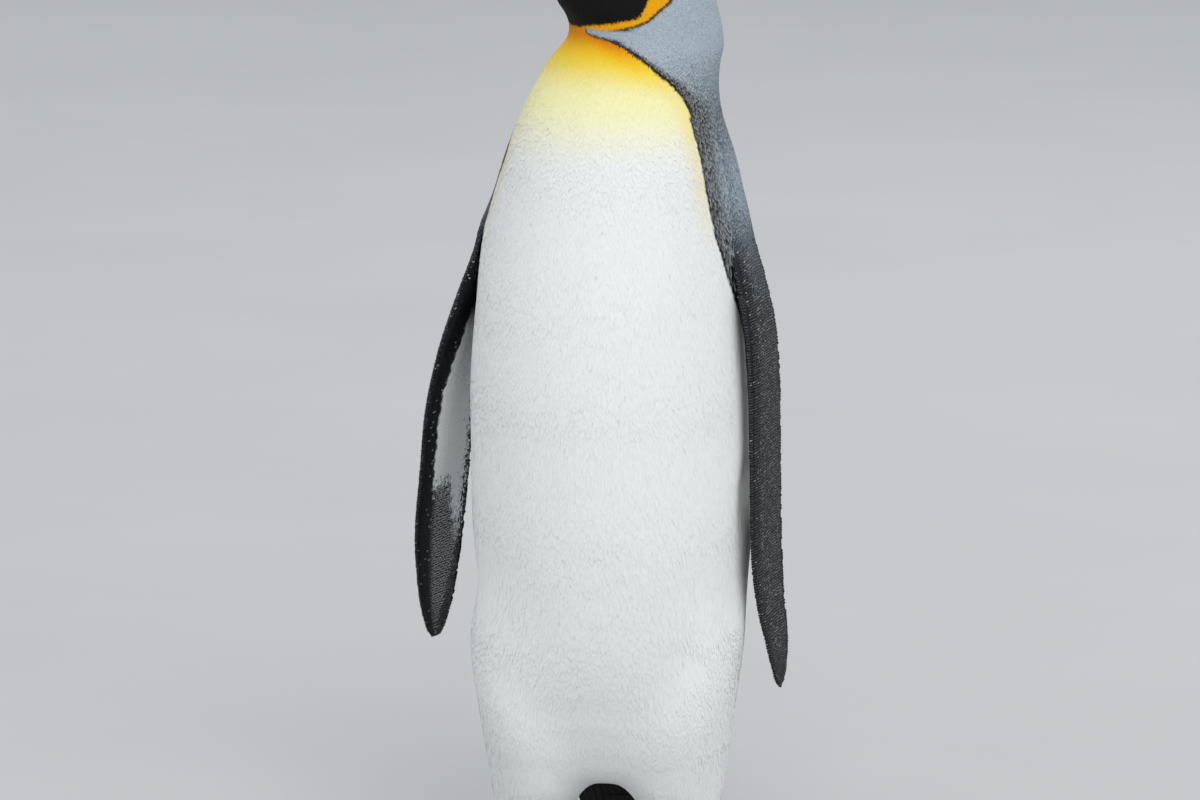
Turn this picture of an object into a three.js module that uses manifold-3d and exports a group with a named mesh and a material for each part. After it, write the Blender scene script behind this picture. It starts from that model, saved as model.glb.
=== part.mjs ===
// A king penguin (Aptenodytes patagonicus) standing at ease, its head turned over its right shoulder.
// Life size, in millimetres, +Z up. The bird faces -Y, so +X is its own left.
// The origin is on the floor, under the centre of the bird's bounding box.
import * as THREE from 'three';
import { mergeVertices } from 'three/addons/utils/BufferGeometryUtils.js';
import Module from 'manifold-3d';

const wasm = await Module();
wasm.setup();

// ---- Driving dimensions ----
const VENT = 84; // floor to the underside of the trunk
const VENT_CAP = 40; // height of the rounded underside of the trunk
const NECK_END = 788; // where the neck's column ends, inside the head
const NECK_CAP = 40; // height of the neck's rounded end
const NECK_TOP = 716; // where the head is parted from the neck
const NECK_BASE = 622; // where the neck is parted from the trunk
const HEAD_HEIGHT = 756; // floor to the middle of the head
const HEAD_TURN = 66; // degrees that the face is turned to the bird's right
const HEAD_TILT = 5; // degrees that the bill is raised
const GAP = 0.3; // clearance between neighbouring solids
const AROUND = 28; // facets round the trunk and neck
const WELD = 1e-4; // corners closer than this are one corner
const ROUGHNESS = { feather: 0.85, horn: 0.4, eye: 0.1, skin: 0.7 };

const degrees = THREE.MathUtils.degToRad;
const vector = (x, y, z) => new THREE.Vector3(x, y, z);

// ---- Curves and solids ----

// A smooth curve through [at, value] keys in rising order, flat beyond its ends, with no overshoot.
function curve(...keys) {
  const last = keys.length - 1;
  const slope = keys.slice(1).map(([x, y], i) => (y - keys[i][1]) / (x - keys[i][0]));
  const tangent = keys.map((_, i) => {
    if (i === 0 || i === last) return 0;
    const [before, after] = [slope[i - 1], slope[i]];
    return before * after <= 0 ? 0 : (2 * before * after) / (before + after);
  });
  return (x) => {
    if (x <= keys[0][0]) return keys[0][1];
    if (x >= keys[last][0]) return keys[last][1];
    const i = keys.findIndex(([at]) => at > x) - 1;
    const [x0, y0] = keys[i];
    const [x1, y1] = keys[i + 1];
    const span = x1 - x0;
    const s = (x - x0) / span;
    const rise = s * s * (3 - 2 * s);
    const lean = s * (1 - s) * span;
    return y0 + (y1 - y0) * rise + lean * (tangent[i] * (1 - s) - tangent[i + 1] * s);
  };
}

// A quarter circle's fall from 1 to 0 as distance goes from 0 to size.
const cap = (distance, size) => Math.sqrt(Math.max(0, 1 - (Math.max(0, distance) / size) ** 2));

// Evenly spaced numbers from one value to another, leaving out the last.
const steps = (from, to, count) => Array.from({ length: count }, (_, i) => from + ((to - from) * i) / count);

// A closed geometry of rings: place(turn, t) is a point, with turn going once round and t from pole to pole.
function rings(around, along, place) {
  const geometry = new THREE.SphereGeometry(1, around, along);
  const { position, uv } = geometry.attributes;
  for (let i = 0; i < position.count; i++) {
    const turn = 2 * Math.PI * (uv.getX(i) % 1);
    const point = place(turn, 1 - uv.getY(i));
    position.setXYZ(i, point.x, point.y, point.z);
  }
  return geometry;
}

// A geometry as a manifold-3d solid, turned right side out.
function solid(geometry) {
  const bare = geometry.clone().deleteAttribute('normal').deleteAttribute('uv');
  const welded = mergeVertices(bare, WELD);
  const triVerts = new Uint32Array(welded.index.array);
  const build = () => new wasm.Manifold(
    new wasm.Mesh({ numProp: 3, vertProperties: welded.attributes.position.array, triVerts }),
  );
  const made = build();
  if (made.volume() > 0) return made;
  for (let i = 0; i < triVerts.length; i += 3) triVerts.subarray(i, i + 2).reverse();
  return build();
}

// A manifold-3d solid as a geometry.
function geometryOf(made) {
  const { vertProperties, triVerts, numProp } = made.getMesh();
  const corners = new Float32Array(triVerts.length * 3);
  triVerts.forEach((v, i) => corners.set(vertProperties.subarray(v * numProp, v * numProp + 3), i * 3));
  return new THREE.BufferGeometry().setAttribute('position', new THREE.BufferAttribute(corners, 3));
}

// What lies outside the trunk, neck and head, without the crumbs that the cut leaves behind.
function outsideFlesh(made) {
  const pieces = made.subtract(fleshWithGap).decompose();
  return pieces.reduce((largest, piece) => (piece.volume() > largest.volume() ? piece : largest));
}

// A box that spans everything between two heights.
function slice(low, high) {
  const reach = 1000;
  return solid(new THREE.BoxGeometry(reach, reach, high - low).translate(0, 0, (low + high) / 2));
}

// ---- Trunk and neck: one stack of egg-shaped level sections that turn with height ----

const section = {
  halfWidth: curve([110, 76], [165, 90], [235, 101], [290, 106], [376, 106], [453, 101], [529, 91],
    [567, 84], [598, 74], [626, 64], [652, 53], [690, 49], [720, 42], [750, 33], [788, 27]),
  front: curve([110, 78], [168, 101], [184, 109], [235, 120], [310, 127], [376, 126], [453, 117],
    [529, 103], [567, 96], [600, 81], [621, 68], [640, 54], [651, 46], [661, 48], [682, 60], [705, 61],
    [728, 57], [746, 47], [788, 26]),
  back: curve([110, 98], [185, 106], [400, 103], [529, 96], [567, 93], [598, 86], [640, 76],
    [682, 65], [733, 56], [788, 42]),
  leftward: curve([200, 0], [235, 3], [300, 2], [450, 0], [567, 5], [598, 5], [652, 14], [700, 13], [780, 5]),
  backward: curve([450, 0], [567, 5], [652, 25], [700, 25], [780, 18]),
  turn: curve([420, 0], [567, 10], [598, 22], [652, HEAD_TURN - 6], [682, HEAD_TURN]),
};

// The point of the body's surface at an angle from straight ahead, thicker by extra all round.
function bodyPoint(angle, height, extra) {
  const top = cap(height - (NECK_END - NECK_CAP), NECK_CAP + extra);
  const bottom = cap(VENT + VENT_CAP - height, VENT_CAP + extra);
  const size = Math.min(top, bottom);
  const reach = Math.cos(angle) > 0 ? section.front(height) : section.back(height);
  const side = Math.sin(angle) * (section.halfWidth(height) + extra) * size;
  const ahead = Math.cos(angle) * (reach + extra) * size;
  const turn = degrees(section.turn(height));
  return vector(
    section.leftward(height) + side * Math.cos(turn) - ahead * Math.sin(turn),
    section.backward(height) - side * Math.sin(turn) - ahead * Math.cos(turn),
    height,
  );
}

function bodySolid(extra) {
  const dome = (share) => NECK_CAP * Math.sin((Math.PI / 2) * share);
  const bowl = (share) => VENT_CAP * Math.cos((Math.PI / 2) * share);
  const heights = [
    NECK_END + extra,
    ...steps(0.8, 0, 3).map((share) => NECK_END - NECK_CAP + dome(share)),
    ...steps(NECK_END - NECK_CAP, NECK_BASE - 30, 15),
    ...steps(NECK_BASE - 30, VENT + VENT_CAP, 16),
    ...steps(0, 0.9, 4).map((share) => VENT + bowl(share)),
    VENT - extra,
  ];
  const along = heights.length - 1;
  return solid(rings(AROUND, along, (angle, t) => bodyPoint(angle, heights[Math.round(t * along)], extra)));
}

// ---- Head: sections along the line from the back of the skull to the bill ----

const HEAD = { back: -46, front: 60, rounding: 26, tip: 7 };
const headShape = {
  top: curve([-46, 30], [-25, 38], [-8, 41], [8, 38.5], [24, 31], [40, 21.5], [52, 14.5], [60, 12]),
  bottom: curve([-46, 34], [-20, 42], [0, 42], [22, 38], [38, 32], [50, 23], [60, 14]),
  halfWidth: curve([-46, 25], [-25, 31], [-6, 33], [10, 32], [26, 26], [40, 18.5], [50, 13], [60, 10]),
  centre: curve([-10, 0], [60, -8]),
};

// The head's own frame: X to its left, -Y ahead along the bill, origin in the middle of the skull.
const HEAD_FRAME = new THREE.Matrix4()
  .makeTranslation(section.leftward(HEAD_HEIGHT), section.backward(HEAD_HEIGHT), HEAD_HEIGHT)
  .multiply(new THREE.Matrix4().makeRotationZ(-degrees(HEAD_TURN)))
  .multiply(new THREE.Matrix4().makeRotationX(-degrees(HEAD_TILT)));
const inHead = (geometry) => solid(geometry.applyMatrix4(HEAD_FRAME));

function headSolid(extra) {
  return inHead(rings(22, 14, (angle, t) => {
    const ahead = HEAD.back - extra + (HEAD.front - HEAD.back + 2 * extra) * t;
    const size = Math.min(
      cap(HEAD.back + HEAD.rounding - ahead, HEAD.rounding + extra),
      cap(ahead - (HEAD.front - HEAD.tip), HEAD.tip + extra),
    );
    const reach = Math.cos(angle) > 0 ? headShape.top(ahead) : headShape.bottom(ahead);
    return vector(
      Math.sin(angle) * (headShape.halfWidth(ahead) + extra) * size,
      -ahead,
      headShape.centre(ahead) + Math.cos(angle) * (reach + extra) * size,
    );
  }));
}

const flesh = bodySolid(0).add(headSolid(0));
const fleshWithGap = bodySolid(GAP).add(headSolid(GAP));

// ---- Eyes and bill, in the head's frame ----

const EYE = { side: 18.6, ahead: 27, height: 5, radius: 8.5 };
const eyeBall = (side, extra = 0) => inHead(
  new THREE.SphereGeometry(EYE.radius + extra, 12, 8).translate(side * EYE.side, -EYE.ahead, EYE.height),
);

// The bill's two slender halves meet along the gape and bend down a little at the tip.
const BILL = { start: 53, length: 118, gape: -9, droop: 9, slit: 0.2, lowerShare: 0.97 };
const billShape = {
  halfWidth: curve([0, 10], [0.15, 8.2], [0.45, 5.2], [0.8, 3.2], [1, 1.2]),
  upper: curve([0, 12], [0.12, 10.2], [0.4, 6.4], [0.75, 4.3], [1, 1.5]),
  lower: curve([0, 11], [0.12, 9], [0.4, 5.8], [0.75, 3.6], [1, 1]),
};

function billHalf(depth, side, lengthShare) {
  return inHead(rings(12, 11, (angle, t) => {
    const share = t * lengthShare;
    const droop = BILL.droop * Math.max(0, share - 0.3) ** 2 / 0.7 ** 2;
    const ends = Math.min(cap(0.05 - t, 0.05), cap(t - 0.96, 0.04));
    const rise = Math.max(0, Math.sin(angle)) * depth(share) * ends;
    return vector(
      Math.cos(angle) * billShape.halfWidth(share) * ends,
      -(BILL.start + BILL.length * share),
      BILL.gape - droop + side * (BILL.slit + rise),
    );
  }));
}

// ---- Legs: feathered thigh and shank, standing under the trunk ----

const LEG_SHIFT = -13; // the legs' centre line is this far along Y
const ANKLE = 30; // floor to the end of the leg's feathers
const THIGH_TOP = 262;
const THIGH_CAP = 62; // height of the thigh's rounded top
const leg = {
  outer: curve([ANKLE, 73], [71, 87], [109, 92.5], [150, 98], [185, 102.5], [216, 106], [THIGH_TOP, 100]),
  inner: curve([ANKLE, 33], [71, 22], [95, 6], [150, 4], [THIGH_TOP, 30]),
  front: curve([ANKLE, 24], [71, 46], [109, 66], [160, 84], [THIGH_TOP, 84]),
  back: curve([ANKLE, 30], [71, 50], [109, 66], [160, 78], [THIGH_TOP, 80]),
};

// A whole limb, from inside the foot's pad to inside the trunk.
function limbSolid(side) {
  const low = 8;
  return solid(rings(18, 13, (angle, t) => {
    const height = low + (THIGH_TOP - low) * t;
    const size = Math.min(cap(height - (THIGH_TOP - THIGH_CAP), THIGH_CAP), cap(low + 12 - height, 12));
    const middle = (leg.outer(height) + leg.inner(height)) / 2;
    const half = (leg.outer(height) - leg.inner(height)) / 2;
    const reach = Math.cos(angle) > 0 ? leg.front(height) : leg.back(height);
    return vector(
      side * (middle + Math.sin(angle) * half * size),
      LEG_SHIFT - Math.cos(angle) * reach * size,
      height,
    );
  }));
}

// ---- Feet: a pad, three webbed toes and a small hind toe, flat under the soles ----

const TOE_OUT = 14; // degrees that each foot points away from straight ahead
const HEEL = { x: 55, y: 6 }; // the pad's centre, under the ankle of the left foot
const TOES = [
  { name: 'inner', spread: -25, length: 80, halfWidth: 9.5 },
  { name: 'middle', spread: -2, length: 100, halfWidth: 10.5 },
  { name: 'outer', spread: 21, length: 86, halfWidth: 9.5 },
];
const TOE_HEIGHT = curve([0, 25], [28, 18], [60, 14.5], [100, 11.5]);
const WEB = { low: 1.2, thickness: 3.4, reach: 0.76, sag: 0.84 };
const CLAW = { length: 26, root: 8, radius: 4.4, centre: 6.4 };
const DIP = 1; // how far soles are modelled under the floor, before the floor cuts them flat

// A point at a distance along a toe and a step across it, on the left foot.
function toePoint(toe, along, across, height) {
  const heading = degrees(TOE_OUT + toe.spread);
  return vector(
    HEEL.x + along * Math.sin(heading) + across * Math.cos(heading),
    HEEL.y - along * Math.cos(heading) + across * Math.sin(heading),
    height,
  );
}

// A toe: soft swellings between the joints, highest at the pad and sloping to the claw.
function toeShape(toe) {
  return rings(8, 9, (angle, t) => {
    const along = toe.length * t;
    const ends = Math.min(cap(0.25 - t, 0.25), cap(t - 0.86, 0.14));
    const swell = 1 + 0.07 * Math.cos((6 * Math.PI * along) / toe.length);
    const centre = TOE_HEIGHT(along) / 2;
    const across = toe.halfWidth * Math.sin(angle) * ends * swell;
    return toePoint(toe, along, across, centre + (centre + DIP) * Math.cos(angle) * ends * swell);
  });
}

// The web from the pad out to a scalloped edge between the toes.
function webShape() {
  const heel = toePoint(TOES[1], -4, 0, 0);
  const tips = TOES.map((toe) => toePoint(toe, toe.length * WEB.reach, 0, 0));
  const outline = new THREE.Shape().moveTo(heel.x, heel.y).lineTo(tips[0].x, tips[0].y);
  for (const [from, to] of [[tips[0], tips[1]], [tips[1], tips[2]]]) {
    const bay = from.clone().add(to).multiplyScalar(0.5).lerp(heel, 1 - WEB.sag);
    outline.quadraticCurveTo(bay.x, bay.y, to.x, to.y);
  }
  outline.closePath();
  return new THREE.ExtrudeGeometry(outline, { depth: WEB.thickness, bevelEnabled: false, curveSegments: 4 })
    .translate(0, 0, WEB.low);
}

// The pad under the ankle, and the small hind toe on its inner side.
const padShape = () => new THREE.SphereGeometry(1, 10, 6).scale(22, 27, 16).translate(HEEL.x, HEEL.y, 13);
const hindToeShape = () => new THREE.SphereGeometry(1, 7, 5).scale(5.5, 14, 5.5)
  .rotateZ(degrees(TOE_OUT - 38)).translate(HEEL.x - 20, HEEL.y - 6, 8);

// A claw: a curved cone, keeled on top, that leaves the toe level and turns down to the floor.
function clawShape(toe, extra = 0) {
  return rings(7, 6, (angle, t) => {
    const along = toe.length - CLAW.root - extra + (CLAW.length + 2 * extra) * t;
    const ends = Math.min(cap(0.15 - t, 0.15), (1 - t) ** 0.7);
    const radius = (CLAW.radius + extra) * ends;
    const keel = Math.cos(angle) > 0 ? 1.15 : 0.85;
    const height = CLAW.centre - (CLAW.centre - 1) * t * t;
    return toePoint(toe, along, radius * Math.sin(angle), height + radius * Math.cos(angle) * keel);
  });
}

const onSide = (shape, side) => solid(shape.scale(side, 1, 1));

// A foot with its shank up to the ankle's cut, and its claws taken out of it.
function footSolid(side) {
  const flesh = [padShape(), hindToeShape(), webShape(), ...TOES.map(toeShape)]
    .map((shape) => onSide(shape, side))
    .reduce((whole, piece) => whole.add(piece), limbSolid(side));
  return TOES.map((toe) => onSide(clawShape(toe, GAP), side))
    .reduce((whole, claw) => whole.subtract(claw), flesh.intersect(slice(0, ANKLE - GAP / 2)));
}

// ---- Tail: a short stiff fan behind the vent, its tip laid on the floor ----

const TAIL_ROOT = vector(0, 50, 138);
const TAIL_TIP = vector(0, 160, 1.5);
const TAIL_LENGTH = TAIL_TIP.distanceTo(TAIL_ROOT);
const tail = {
  halfWidth: curve([0, 34], [60, 38], [120, 33], [TAIL_LENGTH - 14, 23], [TAIL_LENGTH, 14]),
  thickness: curve([0, 24], [60, 18], [120, 7.5], [TAIL_LENGTH, 2.6]),
  arch: 6, // how far the fan's edges droop below its middle
};

function tailSolid() {
  const along = TAIL_TIP.clone().sub(TAIL_ROOT).normalize();
  const up = vector(0, -along.z, along.y);
  return solid(rings(16, 11, (angle, t) => {
    const at = TAIL_LENGTH * t;
    const ends = Math.min(cap(0.1 - t, 0.1), cap(t - 0.96, 0.04));
    const across = tail.halfWidth(at) * Math.sin(angle) * ends;
    const droop = tail.arch * Math.sin(angle) ** 2 * ends;
    const lift = tail.thickness(at) * Math.cos(angle) * ends - droop;
    return TAIL_ROOT.clone().addScaledVector(along, at).addScaledVector(up, lift).add(vector(across, 0, 0));
  })).intersect(slice(0, VENT + 100));
}

// ---- Flippers: blades with a thick leading edge, hung from the shoulders ----

const blade = { // by share of the way from the shoulder to the tip
  chord: curve([0, 44], [0.12, 54], [0.3, 68], [0.45, 77], [0.75, 76], [0.9, 57], [0.97, 37], [1, 12]),
  thickness: curve([0, 32], [0.12, 30], [0.25, 20], [0.5, 14], [0.8, 9], [1, 4]),
  sweep: curve([0, 0], [0.35, 6], [0.7, 0], [1, -12]), // its bow towards the leading edge
};
// For each flipper, by height: how far its middle hangs to the bird's left of and behind the body's axis.
const FLIPPERS = {
  left: {
    leftward: curve([157, 126], [193, 124], [224, 120], [270, 118], [377, 118], [423, 116],
      [453, 111.5], [491, 101.5], [512, 95], [529, 91.5], [550, 88.5], [568, 84], [604, 72]),
    backward: curve([157, 2], [450, 4], [540, 10], [604, 12]),
    toeOut: -12, // degrees that its leading edge points outwards
    top: 604,
    tip: 157,
  },
  right: {
    leftward: curve([172, -148.5], [206, -146], [257, -139.5], [312, -131.5], [359, -125], [408, -113],
      [449, -100], [493, -85], [524, -77], [562, -69], [590, -60]),
    backward: curve([172, 83], [257, 67], [359, 50], [429, 38], [562, 22], [590, 20]),
    toeOut: 22.5,
    top: 590,
    tip: 172,
  },
};

function flipperSolid(side, { leftward, backward, toeOut, top, tip }) {
  const out = vector(side * Math.cos(degrees(toeOut)), Math.sin(degrees(toeOut)), 0);
  const lead = vector(side * Math.sin(degrees(toeOut)), -Math.cos(degrees(toeOut)), 0);
  return solid(rings(14, 17, (angle, t) => {
    const height = top + (tip - top) * t;
    const ends = Math.min(cap(0.06 - t, 0.06), cap(t - 0.98, 0.02));
    const across = (blade.chord(t) / 2) * Math.cos(angle) * ends;
    const wedge = 0.62 + 0.38 * Math.cos(angle); // thick at the leading edge, thin at the trailing edge
    const half = (blade.thickness(t) / 2) * wedge * Math.sin(angle) * ends;
    return vector(leftward(height), backward(height), height)
      .addScaledVector(lead, across + blade.sweep(t))
      .addScaledVector(out, half);
  }));
}

// ---- Parting the whole bird into its named solids ----

const parts = new THREE.Group();

function add(name, made, colour, roughness) {
  const material = new THREE.MeshStandardMaterial({ color: colour, roughness, metalness: 0 });
  const mesh = new THREE.Mesh(geometryOf(made), material);
  mesh.name = name;
  parts.add(mesh);
}

const SIDES = [['left', 1], ['right', -1]];
const eyeRoom = eyeBall(1, GAP).add(eyeBall(-1, GAP));
const aboveAnkle = slice(ANKLE + GAP / 2, THIGH_TOP + 50);

add('head', flesh.intersect(slice(NECK_TOP + GAP / 2, 900)).subtract(eyeRoom), '#14161a', ROUGHNESS.feather);
add('neck', flesh.intersect(slice(NECK_BASE + GAP / 2, NECK_TOP - GAP / 2)), '#8d98a3', ROUGHNESS.feather);
add('trunk', flesh.intersect(slice(0, NECK_BASE - GAP / 2)), '#eef0ee', ROUGHNESS.feather);
add('tail', outsideFlesh(tailSolid()), '#23262b', ROUGHNESS.feather);
add('bill_upper', outsideFlesh(billHalf(billShape.upper, 1, 1)), '#15161a', ROUGHNESS.horn);
add('bill_lower', outsideFlesh(billHalf(billShape.lower, -1, BILL.lowerShare)), '#d8742c', ROUGHNESS.horn);

for (const [name, side] of SIDES) {
  add(`eye_${name}`, eyeBall(side), '#2a1508', ROUGHNESS.eye);
  add(`flipper_${name}`, outsideFlesh(flipperSolid(side, FLIPPERS[name])), '#2b2e34', ROUGHNESS.feather);
  add(`leg_${name}`, outsideFlesh(limbSolid(side)).intersect(aboveAnkle), '#e6e9e8', ROUGHNESS.feather);
  add(`foot_${name}`, footSolid(side), '#2a2c30', ROUGHNESS.skin);
  for (const toe of TOES) {
    add(`claw_${toe.name}_${name}`, onSide(clawShape(toe), side), '#0e0f11', ROUGHNESS.horn);
  }
}

// The origin goes on the floor under the centre of the bounding box.
const box = new THREE.Box3().setFromObject(parts);
parts.position.set(-(box.min.x + box.max.x) / 2, -(box.min.y + box.max.y) / 2, -box.min.z);

export default parts;
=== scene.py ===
"""A king penguin, life size: one skin over the solids, a coat of mesh feathers, and eyes, bill and claws."""

import math

import bpy
import numpy as np
from mathutils import Matrix, Vector
from mathutils.bvhtree import BVHTree
from mathutils.kdtree import KDTree


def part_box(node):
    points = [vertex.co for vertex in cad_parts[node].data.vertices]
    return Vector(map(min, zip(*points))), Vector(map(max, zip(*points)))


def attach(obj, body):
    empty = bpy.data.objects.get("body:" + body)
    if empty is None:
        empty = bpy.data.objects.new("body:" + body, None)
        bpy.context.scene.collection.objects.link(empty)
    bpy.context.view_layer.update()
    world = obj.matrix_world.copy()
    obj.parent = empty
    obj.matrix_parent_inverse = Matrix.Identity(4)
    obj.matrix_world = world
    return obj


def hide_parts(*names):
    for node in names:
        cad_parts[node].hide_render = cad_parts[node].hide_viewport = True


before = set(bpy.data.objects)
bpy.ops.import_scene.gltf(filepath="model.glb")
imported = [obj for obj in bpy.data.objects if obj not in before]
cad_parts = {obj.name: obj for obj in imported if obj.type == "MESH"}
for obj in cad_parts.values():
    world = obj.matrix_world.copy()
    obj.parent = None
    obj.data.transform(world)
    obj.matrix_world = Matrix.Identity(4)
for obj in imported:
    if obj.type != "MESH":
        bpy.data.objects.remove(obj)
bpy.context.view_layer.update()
rng = np.random.default_rng(11)

# The shapes below are written in millimetres in the bird's own frame: floor at z = 0, body axis at x = y = 0,
# breast towards -Y and the bird's left towards +X. BIRD_ORIGIN is where that axis stands in the row's frame.
HEAD_TURN = 66
HEAD_TILT = 5
HEAD_HEIGHT = 756
VENT, VENT_CAP = 84, 40
NECK_END, NECK_CAP = 788, 40
ANKLE = 30


# ---- Curves ----

def curve(*keys):
    """A smooth curve through (at, value) keys, flat beyond its ends, with no overshoot."""
    at, value = np.array(keys, float).T
    slope = np.diff(value) / np.diff(at)
    product = slope[:-1] * slope[1:]
    total = np.where(product > 0, slope[:-1] + slope[1:], 1)
    tangent = np.concatenate([[0], np.where(product > 0, 2 * product / total, 0), [0]])

    def value_at(x):
        x = np.clip(np.asarray(x, float), at[0], at[-1])
        i = np.clip(np.searchsorted(at, x, side="right") - 1, 0, len(at) - 2)
        span = at[i + 1] - at[i]
        s = (x - at[i]) / span
        rise = s * s * (3 - 2 * s)
        lean = s * (1 - s) * span
        bend = tangent[i] * (1 - s) - tangent[i + 1] * s
        return value[i] + (value[i + 1] - value[i]) * rise + lean * bend

    return value_at


def cap(distance, size):
    """A quarter circle's fall from 1 to 0 as distance goes from 0 to size."""
    return np.sqrt(np.clip(1 - (np.clip(distance, 0, None) / size) ** 2, 0, None))


def smoothstep(low, high, x):
    s = np.clip((x - low) / (high - low), 0, 1)
    return s * s * (3 - 2 * s)


def unit(vectors):
    return vectors / np.maximum(np.linalg.norm(vectors, axis=-1, keepdims=True), 1e-9)


def apart(points):
    """The x, y and z of points, each on its own."""
    return points[..., 0], points[..., 1], points[..., 2]


# ---- Named shapes of the bird ----

section = {
    "half_width": curve((110, 76), (165, 90), (235, 101), (290, 106), (376, 106), (453, 101), (529, 91),
                        (567, 84), (598, 74), (626, 64), (652, 53), (690, 49), (720, 42), (750, 33),
                        (788, 27)),
    "front": curve((110, 78), (168, 101), (184, 109), (235, 120), (310, 127), (376, 126), (453, 117),
                   (529, 103), (567, 96), (600, 81), (621, 68), (640, 54), (651, 46), (661, 48), (682, 60),
                   (705, 61), (728, 57), (746, 47), (788, 26)),
    "back": curve((110, 98), (185, 106), (400, 103), (529, 96), (567, 93), (598, 86), (640, 76),
                  (682, 65), (733, 56), (788, 42)),
    "leftward": curve((200, 0), (235, 3), (300, 2), (450, 0), (567, 5), (598, 5), (652, 14), (700, 13),
                      (780, 5)),
    "backward": curve((450, 0), (567, 5), (652, 25), (700, 25), (780, 18)),
    "turn": curve((420, 0), (567, 10), (598, 22), (652, HEAD_TURN - 6), (682, HEAD_TURN)),
}

HEAD = {"back": -46, "front": 64, "rounding": 26, "tip": 5}
head_shape = {
    "top": curve((-46, 30), (-25, 38), (-8, 41), (8, 38.5), (24, 31), (40, 21.5), (52, 14.5), (60, 12.3),
                 (64, 11.3)),
    "bottom": curve((-46, 34), (-20, 42), (0, 42), (22, 38), (38, 33), (50, 26), (60, 18.5), (64, 15.5)),
    "half_width": curve((-46, 25), (-25, 31), (-6, 33), (10, 32), (26, 26), (40, 18.5), (50, 13.6),
                        (60, 11.2), (64, 10.4)),
    "centre": curve((-10, 0), (60, -8), (64, -8.5)),
}

EYE = {"side": 18.6, "ahead": 27, "height": 5, "radius": 8.5, "inset": 0.4, "cornea": 0.4}
# The edges of the pupil and of the iris, in degrees from the way the eye looks.
PUPIL_EDGE, IRIS_EDGE = (17, 19), (34, 38)

LID = {"radius": 5.1, "thickness": 0.95, "lift": 6.1, "length_share": 1.06}
BROW = {"height": 2.2, "spread": 9}

BILL = {"start": 53, "length": 118, "gape": -9, "droop": 9, "slit": 0.08, "lower_share": 0.97, "root": -0.09}
bill_shape = {
    "half_width": curve((0, 10), (0.15, 8.2), (0.45, 5.2), (0.8, 3.2), (1, 1.2)),
    "upper": curve((0, 11.3), (0.12, 10), (0.4, 6.4), (0.75, 4.3), (1, 1.5)),
    "lower": curve((0, 10), (0.12, 8.7), (0.4, 5.8), (0.75, 3.6), (1, 1)),
}

# The least height of each over the floor.
FLOOR_GAP = {"feet": 0.05, "feathers": 0.3, "quills": 0.4}

LEG_SHIFT = -13
LEG_LOW = 20
THIGH_TOP, THIGH_CAP = 262, 62
leg = {
    "outer": curve((ANKLE, 73), (71, 87), (109, 92.5), (150, 98), (185, 102.5), (216, 106), (THIGH_TOP, 100)),
    "inner": curve((ANKLE, 33), (71, 22), (95, 6), (150, 4), (THIGH_TOP, 30)),
    "front": curve((ANKLE, 24), (71, 46), (109, 66), (160, 84), (THIGH_TOP, 84)),
    "back": curve((ANKLE, 30), (71, 50), (109, 66), (160, 78), (THIGH_TOP, 80)),
}

TOE_OUT = 14
HEEL = (55, 6)
TOES = {
    "inner": {"spread": -25, "length": 80, "half_width": 9.5},
    "middle": {"spread": -2, "length": 100, "half_width": 10.5},
    "outer": {"spread": 21, "length": 86, "half_width": 9.5},
}
toe_height = curve((0, 25), (28, 18), (60, 14.5), (100, 11.5))
CLAW = {"length": 26, "root": 8, "radius": 4.4, "centre": 6.4}

STOUT = 5  # the least half thickness that the remesh keeps whole
TAIL_ROOT, TAIL_TIP = np.array([0, 50, 138.0]), np.array([0, 160, 1.5])
TAIL_LENGTH = np.linalg.norm(TAIL_TIP - TAIL_ROOT)
TAIL_AHEAD = unit(TAIL_TIP - TAIL_ROOT)
TAIL_UP = np.array([0, -TAIL_AHEAD[2], TAIL_AHEAD[1]])
tail = {
    "half_width": curve((0, 34), (60, 38), (120, 33), (TAIL_LENGTH - 14, 23), (TAIL_LENGTH, 14)),
    "thickness": curve((0, 24), (60, 18), (120, 7.5), (TAIL_LENGTH, 2.6)),
    "arch": 6,
    "flesh": 0.7,
}

blade = {
    "chord": curve((0, 44), (0.12, 54), (0.3, 68), (0.45, 77), (0.75, 76), (0.9, 55), (0.97, 30), (1, 8)),
    "thickness": curve((0, 32), (0.12, 30), (0.25, 20), (0.5, 14), (0.8, 9), (1, 4)),
    "sweep": curve((0, 0), (0.35, 6), (0.7, 0), (1, -12)),
}
FLIPPERS = {
    "left": {
        "side": 1, "toe_out": -12, "top": 604, "tip": 153,
        "leftward": curve((157, 126), (193, 124), (224, 120), (270, 118), (377, 118), (423, 116),
                          (453, 111.5), (491, 101.5), (512, 95), (529, 91.5), (550, 88.5), (568, 84),
                          (604, 72)),
        "backward": curve((157, 2), (450, 4), (540, 10), (604, 12)),
    },
    "right": {
        "side": -1, "toe_out": 22.5, "top": 590, "tip": 167,
        "leftward": curve((172, -148.5), (206, -146), (257, -139.5), (312, -131.5), (359, -125), (408, -113),
                          (449, -100), (493, -85), (524, -77), (562, -69), (590, -60)),
        "backward": curve((172, 83), (257, 67), (359, 50), (429, 38), (562, 22), (590, 20)),
    },
}


def rotation_z(degrees):
    return np.array(Matrix.Rotation(math.radians(degrees), 3, "Z"))


SIDES = {"left": 1, "right": -1}
HEAD_AXES = rotation_z(-HEAD_TURN) @ np.array(Matrix.Rotation(math.radians(-HEAD_TILT), 3, "X"))
HEAD_CENTRE = np.array([section["leftward"](HEAD_HEIGHT), section["backward"](HEAD_HEIGHT), HEAD_HEIGHT])


def from_head(points):
    """Points of the head's frame, X to its left and -Y ahead along the bill, in the bird's frame."""
    return points @ HEAD_AXES.T + HEAD_CENTRE


def in_head(points):
    return (points - HEAD_CENTRE) @ HEAD_AXES


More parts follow.
